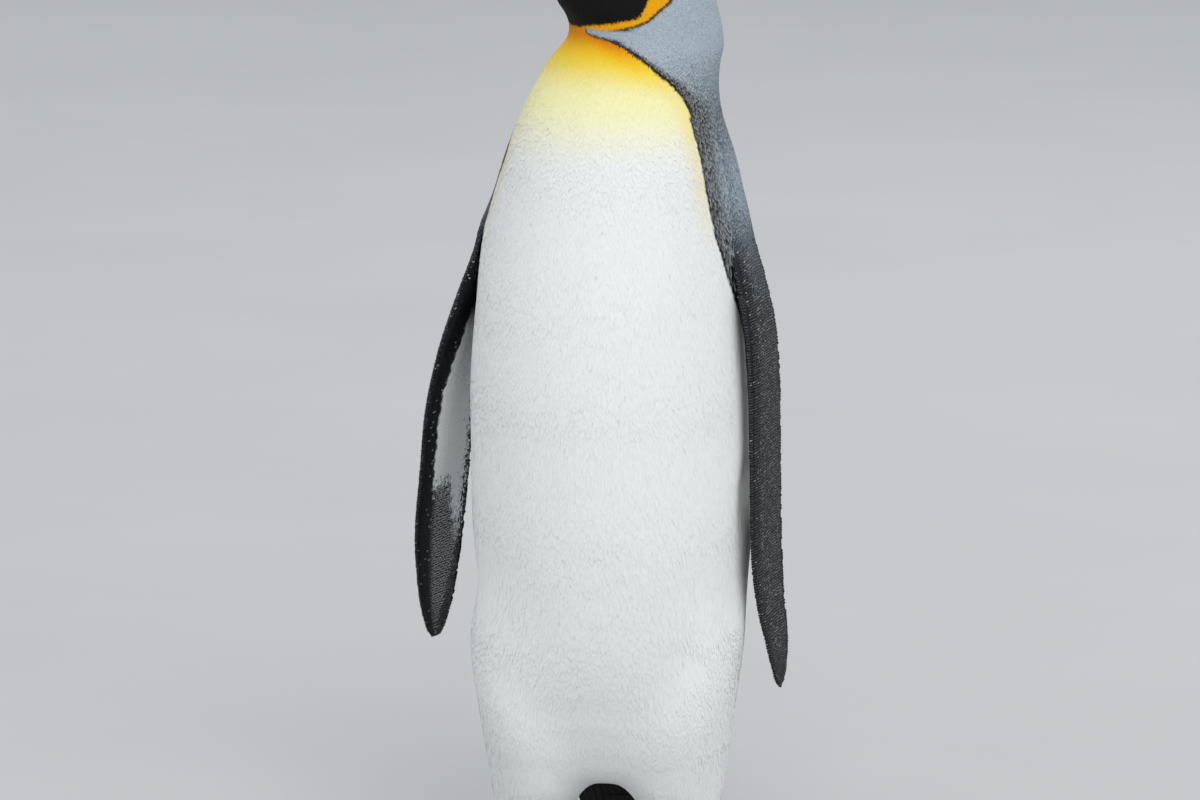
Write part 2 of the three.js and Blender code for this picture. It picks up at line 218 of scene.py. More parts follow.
def eye_centre(side):
    return np.array([side * EYE["side"], -EYE["ahead"], EYE["height"]])


def eye_axes(side):
    """In the head's frame: the way an eye looks, and the ways ahead and up across its face."""
    gaze = unit(np.array([side * 1.0, -0.61, 0.4]))
    ahead = unit(np.array([0, -1, 0]) + gaze * gaze[1])
    return gaze, ahead, np.cross(ahead, gaze) * -side


def bird_origin():
    """Where the bird's axis stands in the row's frame, read off the place of its left eye."""
    low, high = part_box("eye_left")
    eye = from_head(eye_centre(1))
    middle = np.array((low + high) / 2) * 1000
    return np.array([middle[0] - eye[0], middle[1] - eye[1], 0])


BIRD_ORIGIN = bird_origin()


def to_row(points):
    """Millimetres in the bird's frame to metres in the row's frame."""
    return (points + BIRD_ORIGIN) / 1000


def to_bird(points):
    return points * 1000 - BIRD_ORIGIN


def body_angle(points):
    """Degrees round the body from straight ahead, left positive, as the trunk and neck twist with height."""
    z = points[:, 2]
    turn = np.radians(section["turn"](z))
    x = points[:, 0] - section["leftward"](z)
    y = points[:, 1] - section["backward"](z)
    side = x * np.cos(turn) - y * np.sin(turn)
    ahead = -x * np.sin(turn) - y * np.cos(turn)
    return np.degrees(np.arctan2(side, ahead))


# Soft creases in the coat, and swellings where the depth is negative: the points that each one runs through,
# how deep it is and how far it spreads.
FOLDS = [
    {"through": [(-97, -20, 238), (-77, -70, 203), (-58, -90, 169), (-37, -95, 141), (-17, -88, 114)],
     "depth": 2.6, "spread": 22},
    {"through": [(105, -30, 308), (99, -47, 266), (93, -50, 241)], "depth": 2.4, "spread": 22},
    {"through": [(60, -92, 195), (50, -96, 176), (37, -97, 151), (20, -88, 114)], "depth": 2.4, "spread": 17},
    {"through": [(-44, -97, 158), (-10, -99, 160), (28, -97, 158)], "depth": 0.5, "spread": 7},
    {"through": [(-88, -60, 200), (-68, -86, 130)], "depth": -2.5, "spread": 34},
    {"through": [(88, -60, 200), (68, -86, 130)], "depth": -2.5, "spread": 34},
    {"through": [(108, -22, 320), (108, -22, 250)], "depth": 2.5, "spread": 18},
]


def gap_to_line(points, through):
    """Distance from each point to a line of straight pieces."""
    nearest = np.full(len(points), np.inf)
    for a, b in zip(np.array(through[:-1], float), np.array(through[1:], float)):
        along = np.clip((points - a) @ (b - a) / ((b - a) @ (b - a)), 0, 1)
        nearest = np.minimum(nearest, np.linalg.norm(points - a - along[:, None] * (b - a), axis=1))
    return nearest


# ---- Surfaces ----

def loft(around, stations, place):
    """Vertices and faces of a closed surface: a ring at each station, and a point at the first and last."""
    turn = np.linspace(0, 2 * np.pi, around, endpoint=False)[None, :]
    at = np.asarray(stations, float)[:, None]
    x, y, z = np.broadcast_arrays(*place(turn, at))
    grid = np.stack([x, y, z], -1)
    points = np.concatenate([grid[0, :1], grid[1:-1].reshape(-1, 3), grid[-1, :1]])
    rows = len(stations) - 2
    ring = np.arange(around)
    after = (ring + 1) % around
    quads = []
    for row in range(rows - 1):
        low, high = 1 + row * around, 1 + (row + 1) * around
        quads.append(np.stack([low + ring, low + after, high + after, high + ring], -1))
    faces = [tuple(f) for f in np.concatenate(quads).tolist()]
    last = len(points) - 1
    base = 1 + (rows - 1) * around
    faces += [(0, int(b) + 1, int(a) + 1) for a, b in zip(ring, after)]
    faces += [(last, base + int(a), base + int(b)) for a, b in zip(ring, after)]
    return points, faces


def loop_loft(around, along, place):
    """Vertices and quads of a closed tube that runs round to meet itself."""
    turn = np.linspace(0, 2 * np.pi, around, endpoint=False)[None, :]
    at = np.linspace(0, 1, along, endpoint=False)[:, None]
    grid = np.stack(np.broadcast_arrays(*place(*np.broadcast_arrays(turn, at))), -1)
    index = np.arange(around * along).reshape(along, around)
    after = np.roll(index, -1, axis=1)
    beyond = np.roll(index, -1, axis=0)
    quads = np.stack([index, beyond, np.roll(beyond, -1, axis=1), after], -1)
    return grid.reshape(-1, 3), quads.reshape(-1, 4)


def body_loft():
    def place(angle, z):
        size = np.minimum(cap(z - (NECK_END - NECK_CAP), NECK_CAP), cap(VENT + VENT_CAP - z, VENT_CAP))
        reach = np.where(np.cos(angle) > 0, section["front"](z), section["back"](z))
        side = np.sin(angle) * section["half_width"](z) * size
        ahead = np.cos(angle) * reach * size
        turn = np.radians(section["turn"](z))
        x = section["leftward"](z) + side * np.cos(turn) - ahead * np.sin(turn)
        y = section["backward"](z) - side * np.sin(turn) - ahead * np.cos(turn)
        return x, y, z

    quarter = np.sin(np.linspace(0, np.pi / 2, 12))
    heights = np.concatenate([
        NECK_END - NECK_CAP + NECK_CAP * quarter[::-1],
        np.linspace(NECK_END - NECK_CAP, VENT + VENT_CAP, 220)[1:-1],
        VENT + VENT_CAP - VENT_CAP * quarter,
    ])
    return loft(96, heights, place)


def head_loft():
    def place(angle, ahead):
        size = np.minimum(
            cap(HEAD["back"] + HEAD["rounding"] - ahead, HEAD["rounding"]),
            cap(ahead - (HEAD["front"] - HEAD["tip"]), HEAD["tip"]),
        )
        reach = np.where(np.cos(angle) > 0, head_shape["top"](ahead), head_shape["bottom"](ahead))
        side = np.sin(angle) * head_shape["half_width"](ahead) * size
        up = head_shape["centre"](ahead) + np.cos(angle) * reach * size
        return apart(from_head(np.stack(np.broadcast_arrays(side, -ahead, up), -1)))

    return loft(72, np.linspace(HEAD["back"], HEAD["front"], 90), place)


def leg_point(side, angle, z, size):
    """A point round a leg at a height, drawn in towards its middle by size."""
    middle = (leg["outer"](z) + leg["inner"](z)) / 2
    half = (leg["outer"](z) - leg["inner"](z)) / 2
    reach = np.where(np.cos(angle) > 0, leg["front"](z), leg["back"](z))
    return side * (middle + np.sin(angle) * half * size), LEG_SHIFT - np.cos(angle) * reach * size, z


def limb_loft(side):
    """The feathered leg, from inside the bare ankle up into the trunk."""
    def place(angle, z):
        size = np.minimum(cap(z - (THIGH_TOP - THIGH_CAP), THIGH_CAP), cap(LEG_LOW + 12 - z, 12))
        return leg_point(side, angle, z, size)

    return loft(64, np.linspace(LEG_LOW, THIGH_TOP, 90), place)


def ankle_loft(side):
    """The bare ankle, which narrows upwards so that it ends inside the feathered leg."""
    top = ANKLE + 20

    def place(angle, z):
        size = np.minimum(cap(z - ANKLE + 4, top - ANKLE + 4), cap(20 - z, 12))
        return leg_point(side, angle, z, size)

    return loft(48, np.linspace(8, top, 30), place)


def toe_point(side, spread, along, across, height):
    """A point at a distance along a toe, a step across it and a height, for the foot of that side."""
    heading = np.radians(TOE_OUT + spread)
    x = HEEL[0] + along * np.sin(heading) + across * np.cos(heading)
    y = HEEL[1] - along * np.cos(heading) + across * np.sin(heading)
    return side * x, y, height


def toe_loft(side, toe):
    def place(angle, t):
        along = toe["length"] * t
        ends = np.minimum(cap(0.25 - t, 0.25), cap(t - 0.86, 0.14))
        swell = 1 + 0.07 * np.cos(6 * np.pi * along / toe["length"])
        centre = toe_height(along) / 2
        across = toe["half_width"] * np.sin(angle) * ends * swell
        height = centre + (centre + 1) * np.cos(angle) * ends * swell
        return toe_point(side, toe["spread"], along, across, height)

    return loft(36, np.linspace(0, 1, 60), place)


def web_loft(side):
    """The web: a flat lens from the inner toe's side to the outer toe's, scalloped between the toes."""
    spreads = [TOES[name]["spread"] for name in ("inner", "middle", "outer")]
    reaches = [TOES[name]["length"] * 0.76 for name in ("inner", "middle", "outer")]

    def place(angle, t):
        spread = spreads[0] + (spreads[2] - spreads[0]) * t
        tip = np.interp(spread, spreads, reaches)
        between = np.abs(np.sin(np.pi * (spread - spreads[1]) / (spreads[2] - spreads[1])))
        reach = tip * (1 - 0.14 * between)
        along = reach / 2 + reach / 2 * np.cos(angle)
        height = 3 + 1.7 * np.sin(angle)
        return toe_point(side, spread, along, 0, height)

    return loft(40, np.linspace(0, 1, 40), place)


def ellipsoid_loft(centre, radii, turn=0):
    axes = rotation_z(turn)

    def place(angle, t):
        ring = np.sin(np.pi * t)
        x = radii[0] * ring * np.cos(angle)
        y = radii[1] * ring * np.sin(angle)
        local = np.stack(np.broadcast_arrays(x, y, radii[2] * np.cos(np.pi * t)), -1)
        return apart(local @ axes.T + np.array(centre))

    return loft(32, np.linspace(0, 1, 24), place)


def tail_point(angle, at, half_width, half_thickness):
    """A point round the tail's section, a distance at down it; angle 0 is on top."""
    lift = half_thickness - tail["arch"] * np.sin(angle) ** 2
    y = TAIL_ROOT[1] + TAIL_AHEAD[1] * at + TAIL_UP[1] * lift
    z = TAIL_ROOT[2] + TAIL_AHEAD[2] * at + TAIL_UP[2] * lift
    return half_width * np.sin(angle), y, z


def tail_loft():
    """The tail, stout enough for the remesh; thin_tail draws it in to its real thickness."""
    def place(angle, t):
        at = TAIL_LENGTH * tail["flesh"] * t
        ends = np.minimum(cap(0.1 - t, 0.1), cap(t - 0.9, 0.1))
        thick = np.maximum(tail["thickness"](at), STOUT) * ends * blunt(np.cos(angle))
        return tail_point(angle, at, tail["half_width"](at) * ends, thick)

    return loft(56, np.linspace(0, 1, 70), place)


def thin_tail(points):
    """Points of the stout tail moved on to the real one, under its coat."""
    offset = points - TAIL_ROOT
    at = np.clip(offset @ TAIL_AHEAD, 0, TAIL_LENGTH)
    across = np.clip(points[:, 0] / tail["half_width"](at), -1, 1)
    lift = offset @ TAIL_UP + tail["arch"] * across ** 2
    face = sharp(lift / np.maximum(tail["thickness"](at), STOUT))
    angle = np.arctan2(across, face)
    half = tail["thickness"](at) * np.cos(angle) * 0.7
    return np.stack(tail_point(angle, offset @ TAIL_AHEAD, tail["half_width"](at) - 1, half), -1)


def blunt(x):
    """Turns a circle's ends square, so that a thin section keeps its edges in the remesh."""
    return np.sign(x) * np.sqrt(np.abs(x))


def sharp(x):
    return np.sign(x) * x ** 2


def on_flipper(part):
    return np.char.startswith(part, "flipper")


def blades(part):
    """Each flipper, with which of the points are its own."""
    return [(flipper, part == "flipper_" + name) for name, flipper in FLIPPERS.items()]


def flipper_axes(flipper):
    """Unit vectors out from the blade's outer face and towards its leading edge."""
    turn, side = math.radians(flipper["toe_out"]), flipper["side"]
    out = np.array([side * math.cos(turn), math.sin(turn), 0])
    lead = np.array([side * math.sin(turn), -math.cos(turn), 0])
    return out, lead


def flipper_point(flipper, t, across, outward):
    """A point of a blade: a share t down it, a step across it and a step out from its middle plane."""
    out, lead = flipper_axes(flipper)
    z = flipper["top"] + (flipper["tip"] - flipper["top"]) * t
    across = across + blade["sweep"](t)
    x = flipper["leftward"](z) + lead[0] * across + out[0] * outward
    y = flipper["backward"](z) + lead[1] * across + out[1] * outward
    return x, y, z


def stout_half(t):
    return np.maximum(blade["thickness"](t) * 0.4, STOUT)


def stout_clearance(t, share):
    """How far the stout flipper stands off, most at its leading edge, so that the remesh does not web it."""
    return smoothstep(0.12, 0.25, t) * (4 + 5 * smoothstep(0, 0.9, share))


def flipper_loft(flipper):
    """A flipper, stout enough for the remesh; thin_flipper draws it in to its real thickness."""
    def place(angle, t):
        ends = np.minimum(cap(0.06 - t, 0.06), cap(t - 0.98, 0.02))
        across = blade["chord"](t) / 2 * np.cos(angle) * ends
        outward = stout_half(t) * blunt(np.sin(angle)) * ends
        return flipper_point(flipper, t, across, outward + stout_clearance(t, np.cos(angle)))

    return loft(64, np.linspace(0, 1, 150), place)


def thin_flipper(points, flipper):
    """Points of the stout flipper moved on to the real one, under its coat."""
    t, across, outward = blade_place(points, flipper)
    angle = np.arctan2(sharp((outward - stout_clearance(t, across)) / stout_half(t)), across)
    half = blade["thickness"](t) / 2 * (0.62 + 0.38 * np.cos(angle))
    half = np.maximum(half - 0.5, 0.6) * np.sin(angle)
    tip = cap(t - 0.98, 0.02)
    return np.stack(flipper_point(flipper, t, (blade["chord"](t) / 2 - 0.9) * np.cos(angle) * tip, half), -1)


# ---- Markings, shared by the skin and the coat ----

def colour(red, green, blue):
    """A screen colour of 0 to 255 a channel, as linear light."""
    c = np.array([red, green, blue]) / 255
    return np.where(c <= 0.04045, c / 12.92, ((c + 0.055) / 1.055) ** 2.4)


BLACK = colour(15, 16, 14)
ORANGE = colour(228, 140, 6)
AMBER = colour(240, 178, 16)
YELLOW = colour(246, 214, 62)
PALE_YELLOW = colour(244, 240, 178)
WHITE = colour(238, 240, 238)
# The white of the flippers' inner faces is painted light: brighter than WHITE, to make up for the shade that
# the body casts on them.
INNER_WHITE_WITH_PAINTED_LIGHT = colour(252, 254, 252)
NAPE_GREY = colour(160, 173, 183)
BACK_GREY = colour(94, 105, 116)
SHOULDER_GREY = colour(132, 146, 158)
BAND_BLACK = colour(26, 28, 32)
FLIPPER_BLACK = colour(22, 24, 28)
TAIL_BLACK = colour(22, 20, 20)
FOOT_BLACK = colour(46, 46, 50)
LID_BLACK = colour(20, 19, 20)
PUPIL = colour(4, 4, 5)
IRIS = colour(60, 32, 15)
EYE_RIM = colour(22, 14, 10)
BILL_BLACK = colour(26, 25, 28)
PLATE_ORANGE = colour(222, 112, 58)
PLATE_PINK = colour(226, 130, 96)
CLAW_BLACK = colour(30, 29, 31)

# Degrees round the body, by height, of the edge between the breast and the back on each side of the bird, and
# how wide in millimetres the dark band behind that edge is.
LOW_EDGE = [(96, 118), (150, 110), (235, 101), (290, 104), (345, 105), (400, 95)]
HIGH_EDGE = [(580, 68), (593, 73), (605, 78), (615, 78.5), (626, 74), (639, 66), (650, 49), (656, 20)]
left_edge = curve(*LOW_EDGE, (436, 83.5), (452, 76.5), (468, 71), (498, 65), (512, 63), (540, 62.5),
                  (567, 65), *HIGH_EDGE)
right_edge = curve(*LOW_EDGE, (453, 86), (500, 82), (541, 76), (567, 66), *HIGH_EDGE)
band_width = curve((96, 24), (300, 22), (430, 20), (500, 19), (560, 21), (595, 21), (612, 13), (630, 7),
                   (645, 3.5), (656, 1.8))
# Above the throat's lower edge: the front and back edges of the orange patch, and the black border behind it.
THROAT = 659
ear_front = curve((659, 14), (661, 24), (665, 56), (669, 76), (676, 83), (684, 88), (705, 87), (735, 80),
                  (757, 77), (770, 82), (778, 91), (783, 103))
ear_back = curve((657, 20), (660, 54), (666, 80), (674, 95), (682, 107), (705, 114), (735, 125), (757, 131),
                 (770, 125), (778, 115), (783, 103))
ear_border = curve((657, 1.6), (682, 2.2), (700, 4), (720, 9), (740, 16))


def breast_edge(angle, z):
    return np.where(angle > 0, left_edge(z), right_edge(z))


def ear_front_edge(_, z):
    return ear_front(z)


def ear_back_edge(_, z):
    return ear_back(z)


def past_edge(angle, z, edge):
    """Millimetres past an edge across the surface, where the edge is in degrees by height."""
    reach = np.radians(section["half_width"](z))
    slope = (edge(angle, z + 0.5) - edge(angle, z - 0.5)) * reach
    return (np.abs(angle) - edge(angle, z)) * reach / np.sqrt(1 + slope ** 2)


def mix(a, b, share):
    """From a to b: share is one number for each row of colours or points."""
    share = np.asarray(share)[:, None]
    return a * (1 - share) + b * share


# The heights over which the breast turns from white to each warmer colour.
BREAST_BLENDS = [(PALE_YELLOW, 560, 618), (YELLOW, 612, 640), (AMBER, 634, 650), (ORANGE, 645, 656)]


def breast_colour(points, angle):
    """Orange at the throat, through yellow, to white: warmest on top and along the dark edge."""
    z = points[:, 2]
    side = np.abs(angle) / np.maximum(breast_edge(angle, z), 1)
    warmth = z + 7 * smoothstep(0.45, 0.95, side) * smoothstep(520, 620, z)
    tint = WHITE
    for warmer, low, high in BREAST_BLENDS:
        tint = mix(tint, warmer, smoothstep(low, high, warmth))
    edge_glow = smoothstep(0.76, 0.98, side) * smoothstep(490, 560, z)
    return mix(tint, YELLOW, 0.35 * edge_glow * (1 - smoothstep(600, 640, z)))


# The pale patch on the bend of each wing: its height, how far back it lies on each side, and its reach.
BEND = {"height": 538, "back_left": 2, "back_right": 40, "tall": 26, "long": 34, "strength": 0.9}


def shoulder_patch(points):
    """How strongly the pale patch shows: a soft oval, further back on the right wing."""
    high = (points[:, 2] - BEND["height"]) / BEND["tall"]
    middle = np.where(points[:, 0] > 0, BEND["back_left"], BEND["back_right"])
    back = (points[:, 1] - middle) / BEND["long"]
    return BEND["strength"] * np.exp(-(high ** 2) - back ** 2)


def body_markings(points):
    angle = body_angle(points)
    z = points[:, 2]
    past = past_edge(angle, z, breast_edge)
    back = mix(BACK_GREY, NAPE_GREY, smoothstep(590, 655, z))
    band = band_width(z) + 14 * (angle < 0) * smoothstep(470, 510, z) * smoothstep(615, 590, z)
    tint = mix(breast_colour(points, angle), BAND_BLACK, smoothstep(-0.7, 0.5, past))
    tint = mix(tint, back, smoothstep(band * 0.6, band * 1.4, past))
    patch = shoulder_patch(points) * smoothstep(9, 16, past)
    return mix(tint, SHOULDER_GREY, patch)


def head_markings(points):
    """Black head and throat, an orange ear patch that runs down to the breast, and a grey nape."""
    angle, z = body_angle(points), points[:, 2]
    front = past_edge(angle, z, ear_front_edge)
    back = past_edge(angle, z, ear_back_edge)
    black = np.broadcast_to(BLACK, points.shape)
    nape = smoothstep(-0.6, 0.6, back - ear_border(z)) * smoothstep(750, 712, z)
    patch = smoothstep(-0.6, 0.6, front) * smoothstep(0.6, -0.6, back) * (z < 783)
    warm = mix(AMBER, ORANGE, 0.35 + 0.65 * smoothstep(690, 765, z))
    return mix(mix(black, NAPE_GREY, nape), warm, patch)


def skin_markings(points, part):
    """The colour at points of the bird's frame, part naming the limb that each belongs to."""
    upper = smoothstep(THROAT - 0.8, THROAT + 0.8, points[:, 2])
    tint = mix(body_markings(points), head_markings(points), upper)
    for flipper, on in blades(part):
        tint[on] = flipper_markings(points[on], flipper)
    legs = np.char.startswith(part.astype(str), "leg")
    tint[legs] = leg_markings(points[legs])
    tint[part == "tail"] = TAIL_BLACK
    tint[part == "foot"] = FOOT_BLACK
    tint[part == "lid"] = LID_BLACK
    return tint


def leg_markings(points):
    """White, but for the outside of the thigh's back, where the body's grey runs down."""
    behind = smoothstep(12, 30, points[:, 1]) * smoothstep(80, 112, points[:, 2])
    return mix(np.broadcast_to(WHITE, points.shape), body_markings(points), behind)


def blade_place(points, flipper):
    """Share of the way down the blade, place across it from -1, trailing, to 1, leading, and which face."""
    out, lead = flipper_axes(flipper)
    z = points[:, 2]
    t = (flipper["top"] - z) / (flipper["top"] - flipper["tip"])
    middle = np.stack([flipper["leftward"](z), flipper["backward"](z), z], -1)
    offset = points - middle
    across = (offset @ lead - blade["sweep"](t)) / (blade["chord"](t) / 2)
    return t, across, offset @ out


def flipper_markings(points, flipper):
    """Outside: blackish under a pale bend. Inside: white, painted brighter than the breast's white as painted
    light against the shade that falls there, with a dark leading edge and a dark mottled tip.
    """
    t, across, outward = blade_place(points, flipper)
    z = points[:, 2]
    ragged = 5 * np.sin(points[:, 1] * 0.5) + 3 * np.sin(points[:, 1] * 1.3 + z * 0.3)
    bend = smoothstep(436, 546, z - 20 * across ** 2 + ragged)
    outer = mix(np.broadcast_to(FLIPPER_BLACK, points.shape), body_markings(points), bend)
    outer = mix(outer, SHOULDER_GREY, shoulder_patch(points))
    wobble = 0.02 * np.sin(z * 0.23) + 0.02 * np.sin(z * 0.61 + 1)
    edge_at = 0.42 + 0.18 * smoothstep(0.38, 0.52, t)
    dark_edge = smoothstep(-0.03, 0.03, across + wobble - edge_at)
    mottle = 0.05 * (scattered_shade(z / ROW["along"], across * 18) - 0.5)
    tip_edge = 0.69 + 0.1 * smoothstep(0, -0.7, across) + 0.3 * wobble + mottle
    fade = 0.01 + 0.03 * smoothstep(0, -0.7, across)
    dark_tip = smoothstep(-fade, fade, t - tip_edge)
    dark = np.max([dark_edge, dark_tip, smoothstep(0.4, 0.34, t)], axis=0)
    # The inner face's white is painted light, brighter to offset the shade that falls there.
    inner = mix(np.broadcast_to(INNER_WHITE_WITH_PAINTED_LIGHT, points.shape), outer, dark)
    return np.where((outward > -1.0)[:, None], outer, inner)


# ---- Materials ----

def nodes_of(name, roughness, **inputs):
    material = bpy.data.materials.new(name)
    material.use_nodes = True
    tree = material.node_tree
    shader = tree.nodes["Principled BSDF"]
    shader.inputs["Roughness"].default_value = roughness
    for key, value in inputs.items():
        shader.inputs[key.replace("_", " ")].default_value = value
    return material, tree, shader


def noise_node(tree, scale, detail, stretch=(1, 1, 1)):
    place = tree.nodes.new("ShaderNodeTexCoord")
    mapping = tree.nodes.new("ShaderNodeMapping")
    mapping.inputs["Scale"].default_value = stretch
    noise = tree.nodes.new("ShaderNodeTexNoise")
    noise.inputs["Scale"].default_value = scale
    noise.inputs["Detail"].default_value = detail
    tree.links.new(place.outputs["Object"], mapping.inputs["Vector"])
    tree.links.new(mapping.outputs["Vector"], noise.inputs["Vector"])
    return noise


def ramp_node(tree, source, *stops):
    ramp = tree.nodes.new("ShaderNodeValToRGB")
    elements = ramp.color_ramp.elements
    while len(elements) < len(stops):
        elements.new(0.5)
    for element, (at, value) in zip(elements, stops):
        element.position = at
        rgb = (value, value, value) if np.isscalar(value) else tuple(value)
        element.color = (*rgb, 1)
    tree.links.new(source, ramp.inputs["Fac"])
    return ramp


def colour_mix_node(tree):
    """A mix of two colours: a factor, and its colours on inputs 6 and 7."""
    mixing = tree.nodes.new("ShaderNodeMix")
    mixing.data_type = "RGBA"
    return mixing


def multiply_node(tree, a, b):
    multiply = colour_mix_node(tree)
    multiply.blend_type = "MULTIPLY"
    multiply.inputs["Factor"].default_value = 1
    tree.links.new(a, multiply.inputs[6])
    tree.links.new(b, multiply.inputs[7])
    return multiply.outputs[2]


def markings_node(tree):
    """Reads the colours that paint() stored on the mesh."""
    marking = tree.nodes.new("ShaderNodeVertexColor")
    marking.layer_name = "markings"
    return marking


def tint_base(tree, shader, marking, shade):
    """Sets the base colour to the markings times a shade."""
    tree.links.new(multiply_node(tree, marking.outputs["Color"], shade), shader.inputs["Base Color"])


def bump_node(tree, shader, source, strength, distance):
    bump = tree.nodes.new("ShaderNodeBump")
    bump.inputs["Strength"].default_value = strength
    bump.inputs["Distance"].default_value = distance
    tree.links.new(source, bump.inputs["Height"])
    tree.links.new(bump.outputs["Normal"], shader.inputs["Normal"])


def coat_material(name, roughness, streak, spread, bump):
    """Feather colour from the markings, broken up by barb-fine streaks that run down the body."""
    material, tree, shader = nodes_of(name, roughness, Specular_IOR_Level=0.12)
    streaks = noise_node(tree, streak, 3, (1, 1, 0.16))
    shade = ramp_node(tree, streaks.outputs["Fac"], (0.3, 1 - spread), (0.7, 1.0))
    tint_base(tree, shader, markings_node(tree), shade.outputs["Color"])
    bump_node(tree, shader, streaks.outputs["Fac"], bump, 0.0004)
    return material


def skin_material():
    """Skin: the coat's markings under it, and where it is bare, on the feet and lids, small round scales."""
    material, tree, shader = nodes_of("skin", 0.6, Specular_IOR_Level=0.25)
    marking = markings_node(tree)
    place = tree.nodes.new("ShaderNodeTexCoord")
    scales = tree.nodes.new("ShaderNodeTexVoronoi")
    scales.inputs["Scale"].default_value = 420
    tree.links.new(place.outputs["Object"], scales.inputs["Vector"])
    lumps = ramp_node(tree, scales.outputs["Distance"], (0.0, 1.0), (0.8, 0.0))
    shade = ramp_node(tree, scales.outputs["Distance"], (0.15, 1.0), (0.75, 0.5))
    scaly = colour_mix_node(tree)
    scaly.inputs[6].default_value = (1, 1, 1, 1)
    tree.links.new(marking.outputs["Alpha"], scaly.inputs["Factor"])
    tree.links.new(shade.outputs["Color"], scaly.inputs[7])
    tint_base(tree, shader, marking, scaly.outputs[2])
    bare_lumps = multiply_node(tree, lumps.outputs["Color"], marking.outputs["Alpha"])
    bump_node(tree, shader, bare_lumps, 0.7, 0.0006)
    return material


def horn_material(name, base):
    """Horn: fine lengthwise grain and worn, duller patches."""
    roughness = 0.32
    material, tree, shader = nodes_of(name, roughness, Coat_Weight=0.15, Coat_Roughness=0.3)
    grain = noise_node(tree, 260, 5, (1, 1, 0.3))
    shade = ramp_node(tree, grain.outputs["Fac"], (0.3, base * 0.72), (0.7, base * 1.15))
    tree.links.new(shade.outputs["Color"], shader.inputs["Base Color"])
    worn = noise_node(tree, 90, 3)
    rough = ramp_node(tree, worn.outputs["Fac"], (0.3, roughness * 0.8), (0.75, roughness * 1.5))
    tree.links.new(rough.outputs["Color"], shader.inputs["Roughness"])
    bump_node(tree, shader, grain.outputs["Fac"], 0.2, 0.0003)
    return material


def marked_horn_material(name):
    """The bill: colour from its own markings, with grain and a waxy gloss."""
    material, tree, shader = nodes_of(name, 0.3, Coat_Weight=0.2, Coat_Roughness=0.25)
    grain = noise_node(tree, 320, 5)
    shade = ramp_node(tree, grain.outputs["Fac"], (0.3, 0.78), (0.7, 1.0))
    tint_base(tree, shader, markings_node(tree), shade.outputs["Color"])
    rough = ramp_node(tree, grain.outputs["Fac"], (0.3, 0.24), (0.75, 0.45))
    tree.links.new(rough.outputs["Color"], shader.inputs["Roughness"])
    bump_node(tree, shader, grain.outputs["Fac"], 0.18, 0.0002)
    return material


SKIN_LOOK = skin_material()


# ---- Mesh objects ----

def add_object(name, data):
    made = bpy.data.objects.new(name, data)
    bpy.context.scene.collection.objects.link(made)
    return made


def mesh_object(name, points, faces, material):
    """An object from metres and a list of faces, or an array of triangles or quads."""
    mesh = bpy.data.meshes.new(name)
    if isinstance(faces, np.ndarray):
        count, corners = faces.shape
        mesh.vertices.add(len(points))
        mesh.vertices.foreach_set("co", points.astype(np.float32).ravel())
        mesh.loops.add(count * corners)
        mesh.loops.foreach_set("vertex_index", faces.astype(np.int32).ravel())
        mesh.polygons.add(count)
        mesh.polygons.foreach_set("loop_start", np.arange(0, count * corners, corners, dtype=np.int32))
        mesh.update(calc_edges=True)
    else:
        mesh.from_pydata(points.tolist(), [], faces)
    mesh.polygons.foreach_set("use_smooth", np.full(len(mesh.polygons), True))
    mesh.materials.append(material)
    return add_object(name, mesh)


def paint(made, colours, bare=1.0):
    """Stores a colour for each vertex, as the materials' markings, and how bare it is as alpha."""
    layer = made.data.color_attributes.new("markings", "FLOAT_COLOR", "POINT")
    rgba = np.ones((len(colours), 4), np.float32)
    rgba[:, :3] = colours
    rgba[:, 3] = bare
    layer.data.foreach_set("color", rgba.ravel())


def map_bake(made, places):
    """The map of the bake, from a place in the unit square for each vertex."""
    corner = np.empty(len(made.data.loops), np.int32)
    made.data.loops.foreach_get("vertex_index", corner)
    layer = made.data.uv_layers.new(name="OFBake")
    layer.data.foreach_set("uv", places[corner].astype(np.float32).ravel())


def remeshed(name, lofts, voxel):
    """One closed surface round several overlapping lofts, as metres and quads."""
    points, faces, count = [], [], 0
    for loft_points, loft_faces in lofts:
        points.append(loft_points)
        faces += [tuple(i + count for i in face) for face in loft_faces]
        count += len(loft_points)
    rough = mesh_object(name, to_row(np.concatenate(points)), faces, SKIN_LOOK)
    change = rough.modifiers.new("voxels", "REMESH")
    change.mode = "VOXEL"
    change.voxel_size = voxel
    solved = rough.evaluated_get(bpy.context.evaluated_depsgraph_get()).to_mesh()
    flat = np.empty(len(solved.vertices) * 3, np.float32)
    solved.vertices.foreach_get("co", flat)
    corners = np.empty(len(solved.loops), np.int32)
    solved.loops.foreach_get("vertex_index", corners)
    bpy.data.objects.remove(rough)
    return flat.reshape(-1, 3).astype(float), corners.reshape(-1, 4)


def edges_of(quads):
    pairs = np.concatenate([quads[:, [0, 1]], quads[:, [1, 2]], quads[:, [2, 3]], quads[:, [3, 0]]])
    return np.unique(np.sort(pairs, axis=1), axis=0)


def relaxed(points, edges, strength, rounds):
    """Points moved towards the mean of their neighbours, each by its own strength."""
    count = len(points)
    links = np.bincount(edges.ravel(), minlength=count)[:, None]
    for _ in range(rounds):
        total = np.zeros_like(points)
        for axis in range(3):
            total[:, axis] = (
                np.bincount(edges[:, 0], points[edges[:, 1], axis], count)
                + np.bincount(edges[:, 1], points[edges[:, 0], axis], count)
            )
        points = points + (total / links - points) * strength[:, None]
    return points


def normals_of(points, quads):
    """Unit normals at the vertices of a quad mesh."""
    cross = np.cross(points[quads[:, 2]] - points[quads[:, 0]], points[quads[:, 3]] - points[quads[:, 1]])
    total = np.zeros_like(points)
    for corner in range(4):
        for axis in range(3):
            total[:, axis] += np.bincount(quads[:, corner], cross[:, axis], len(points))
    return unit(total)


# ---- Skin ----

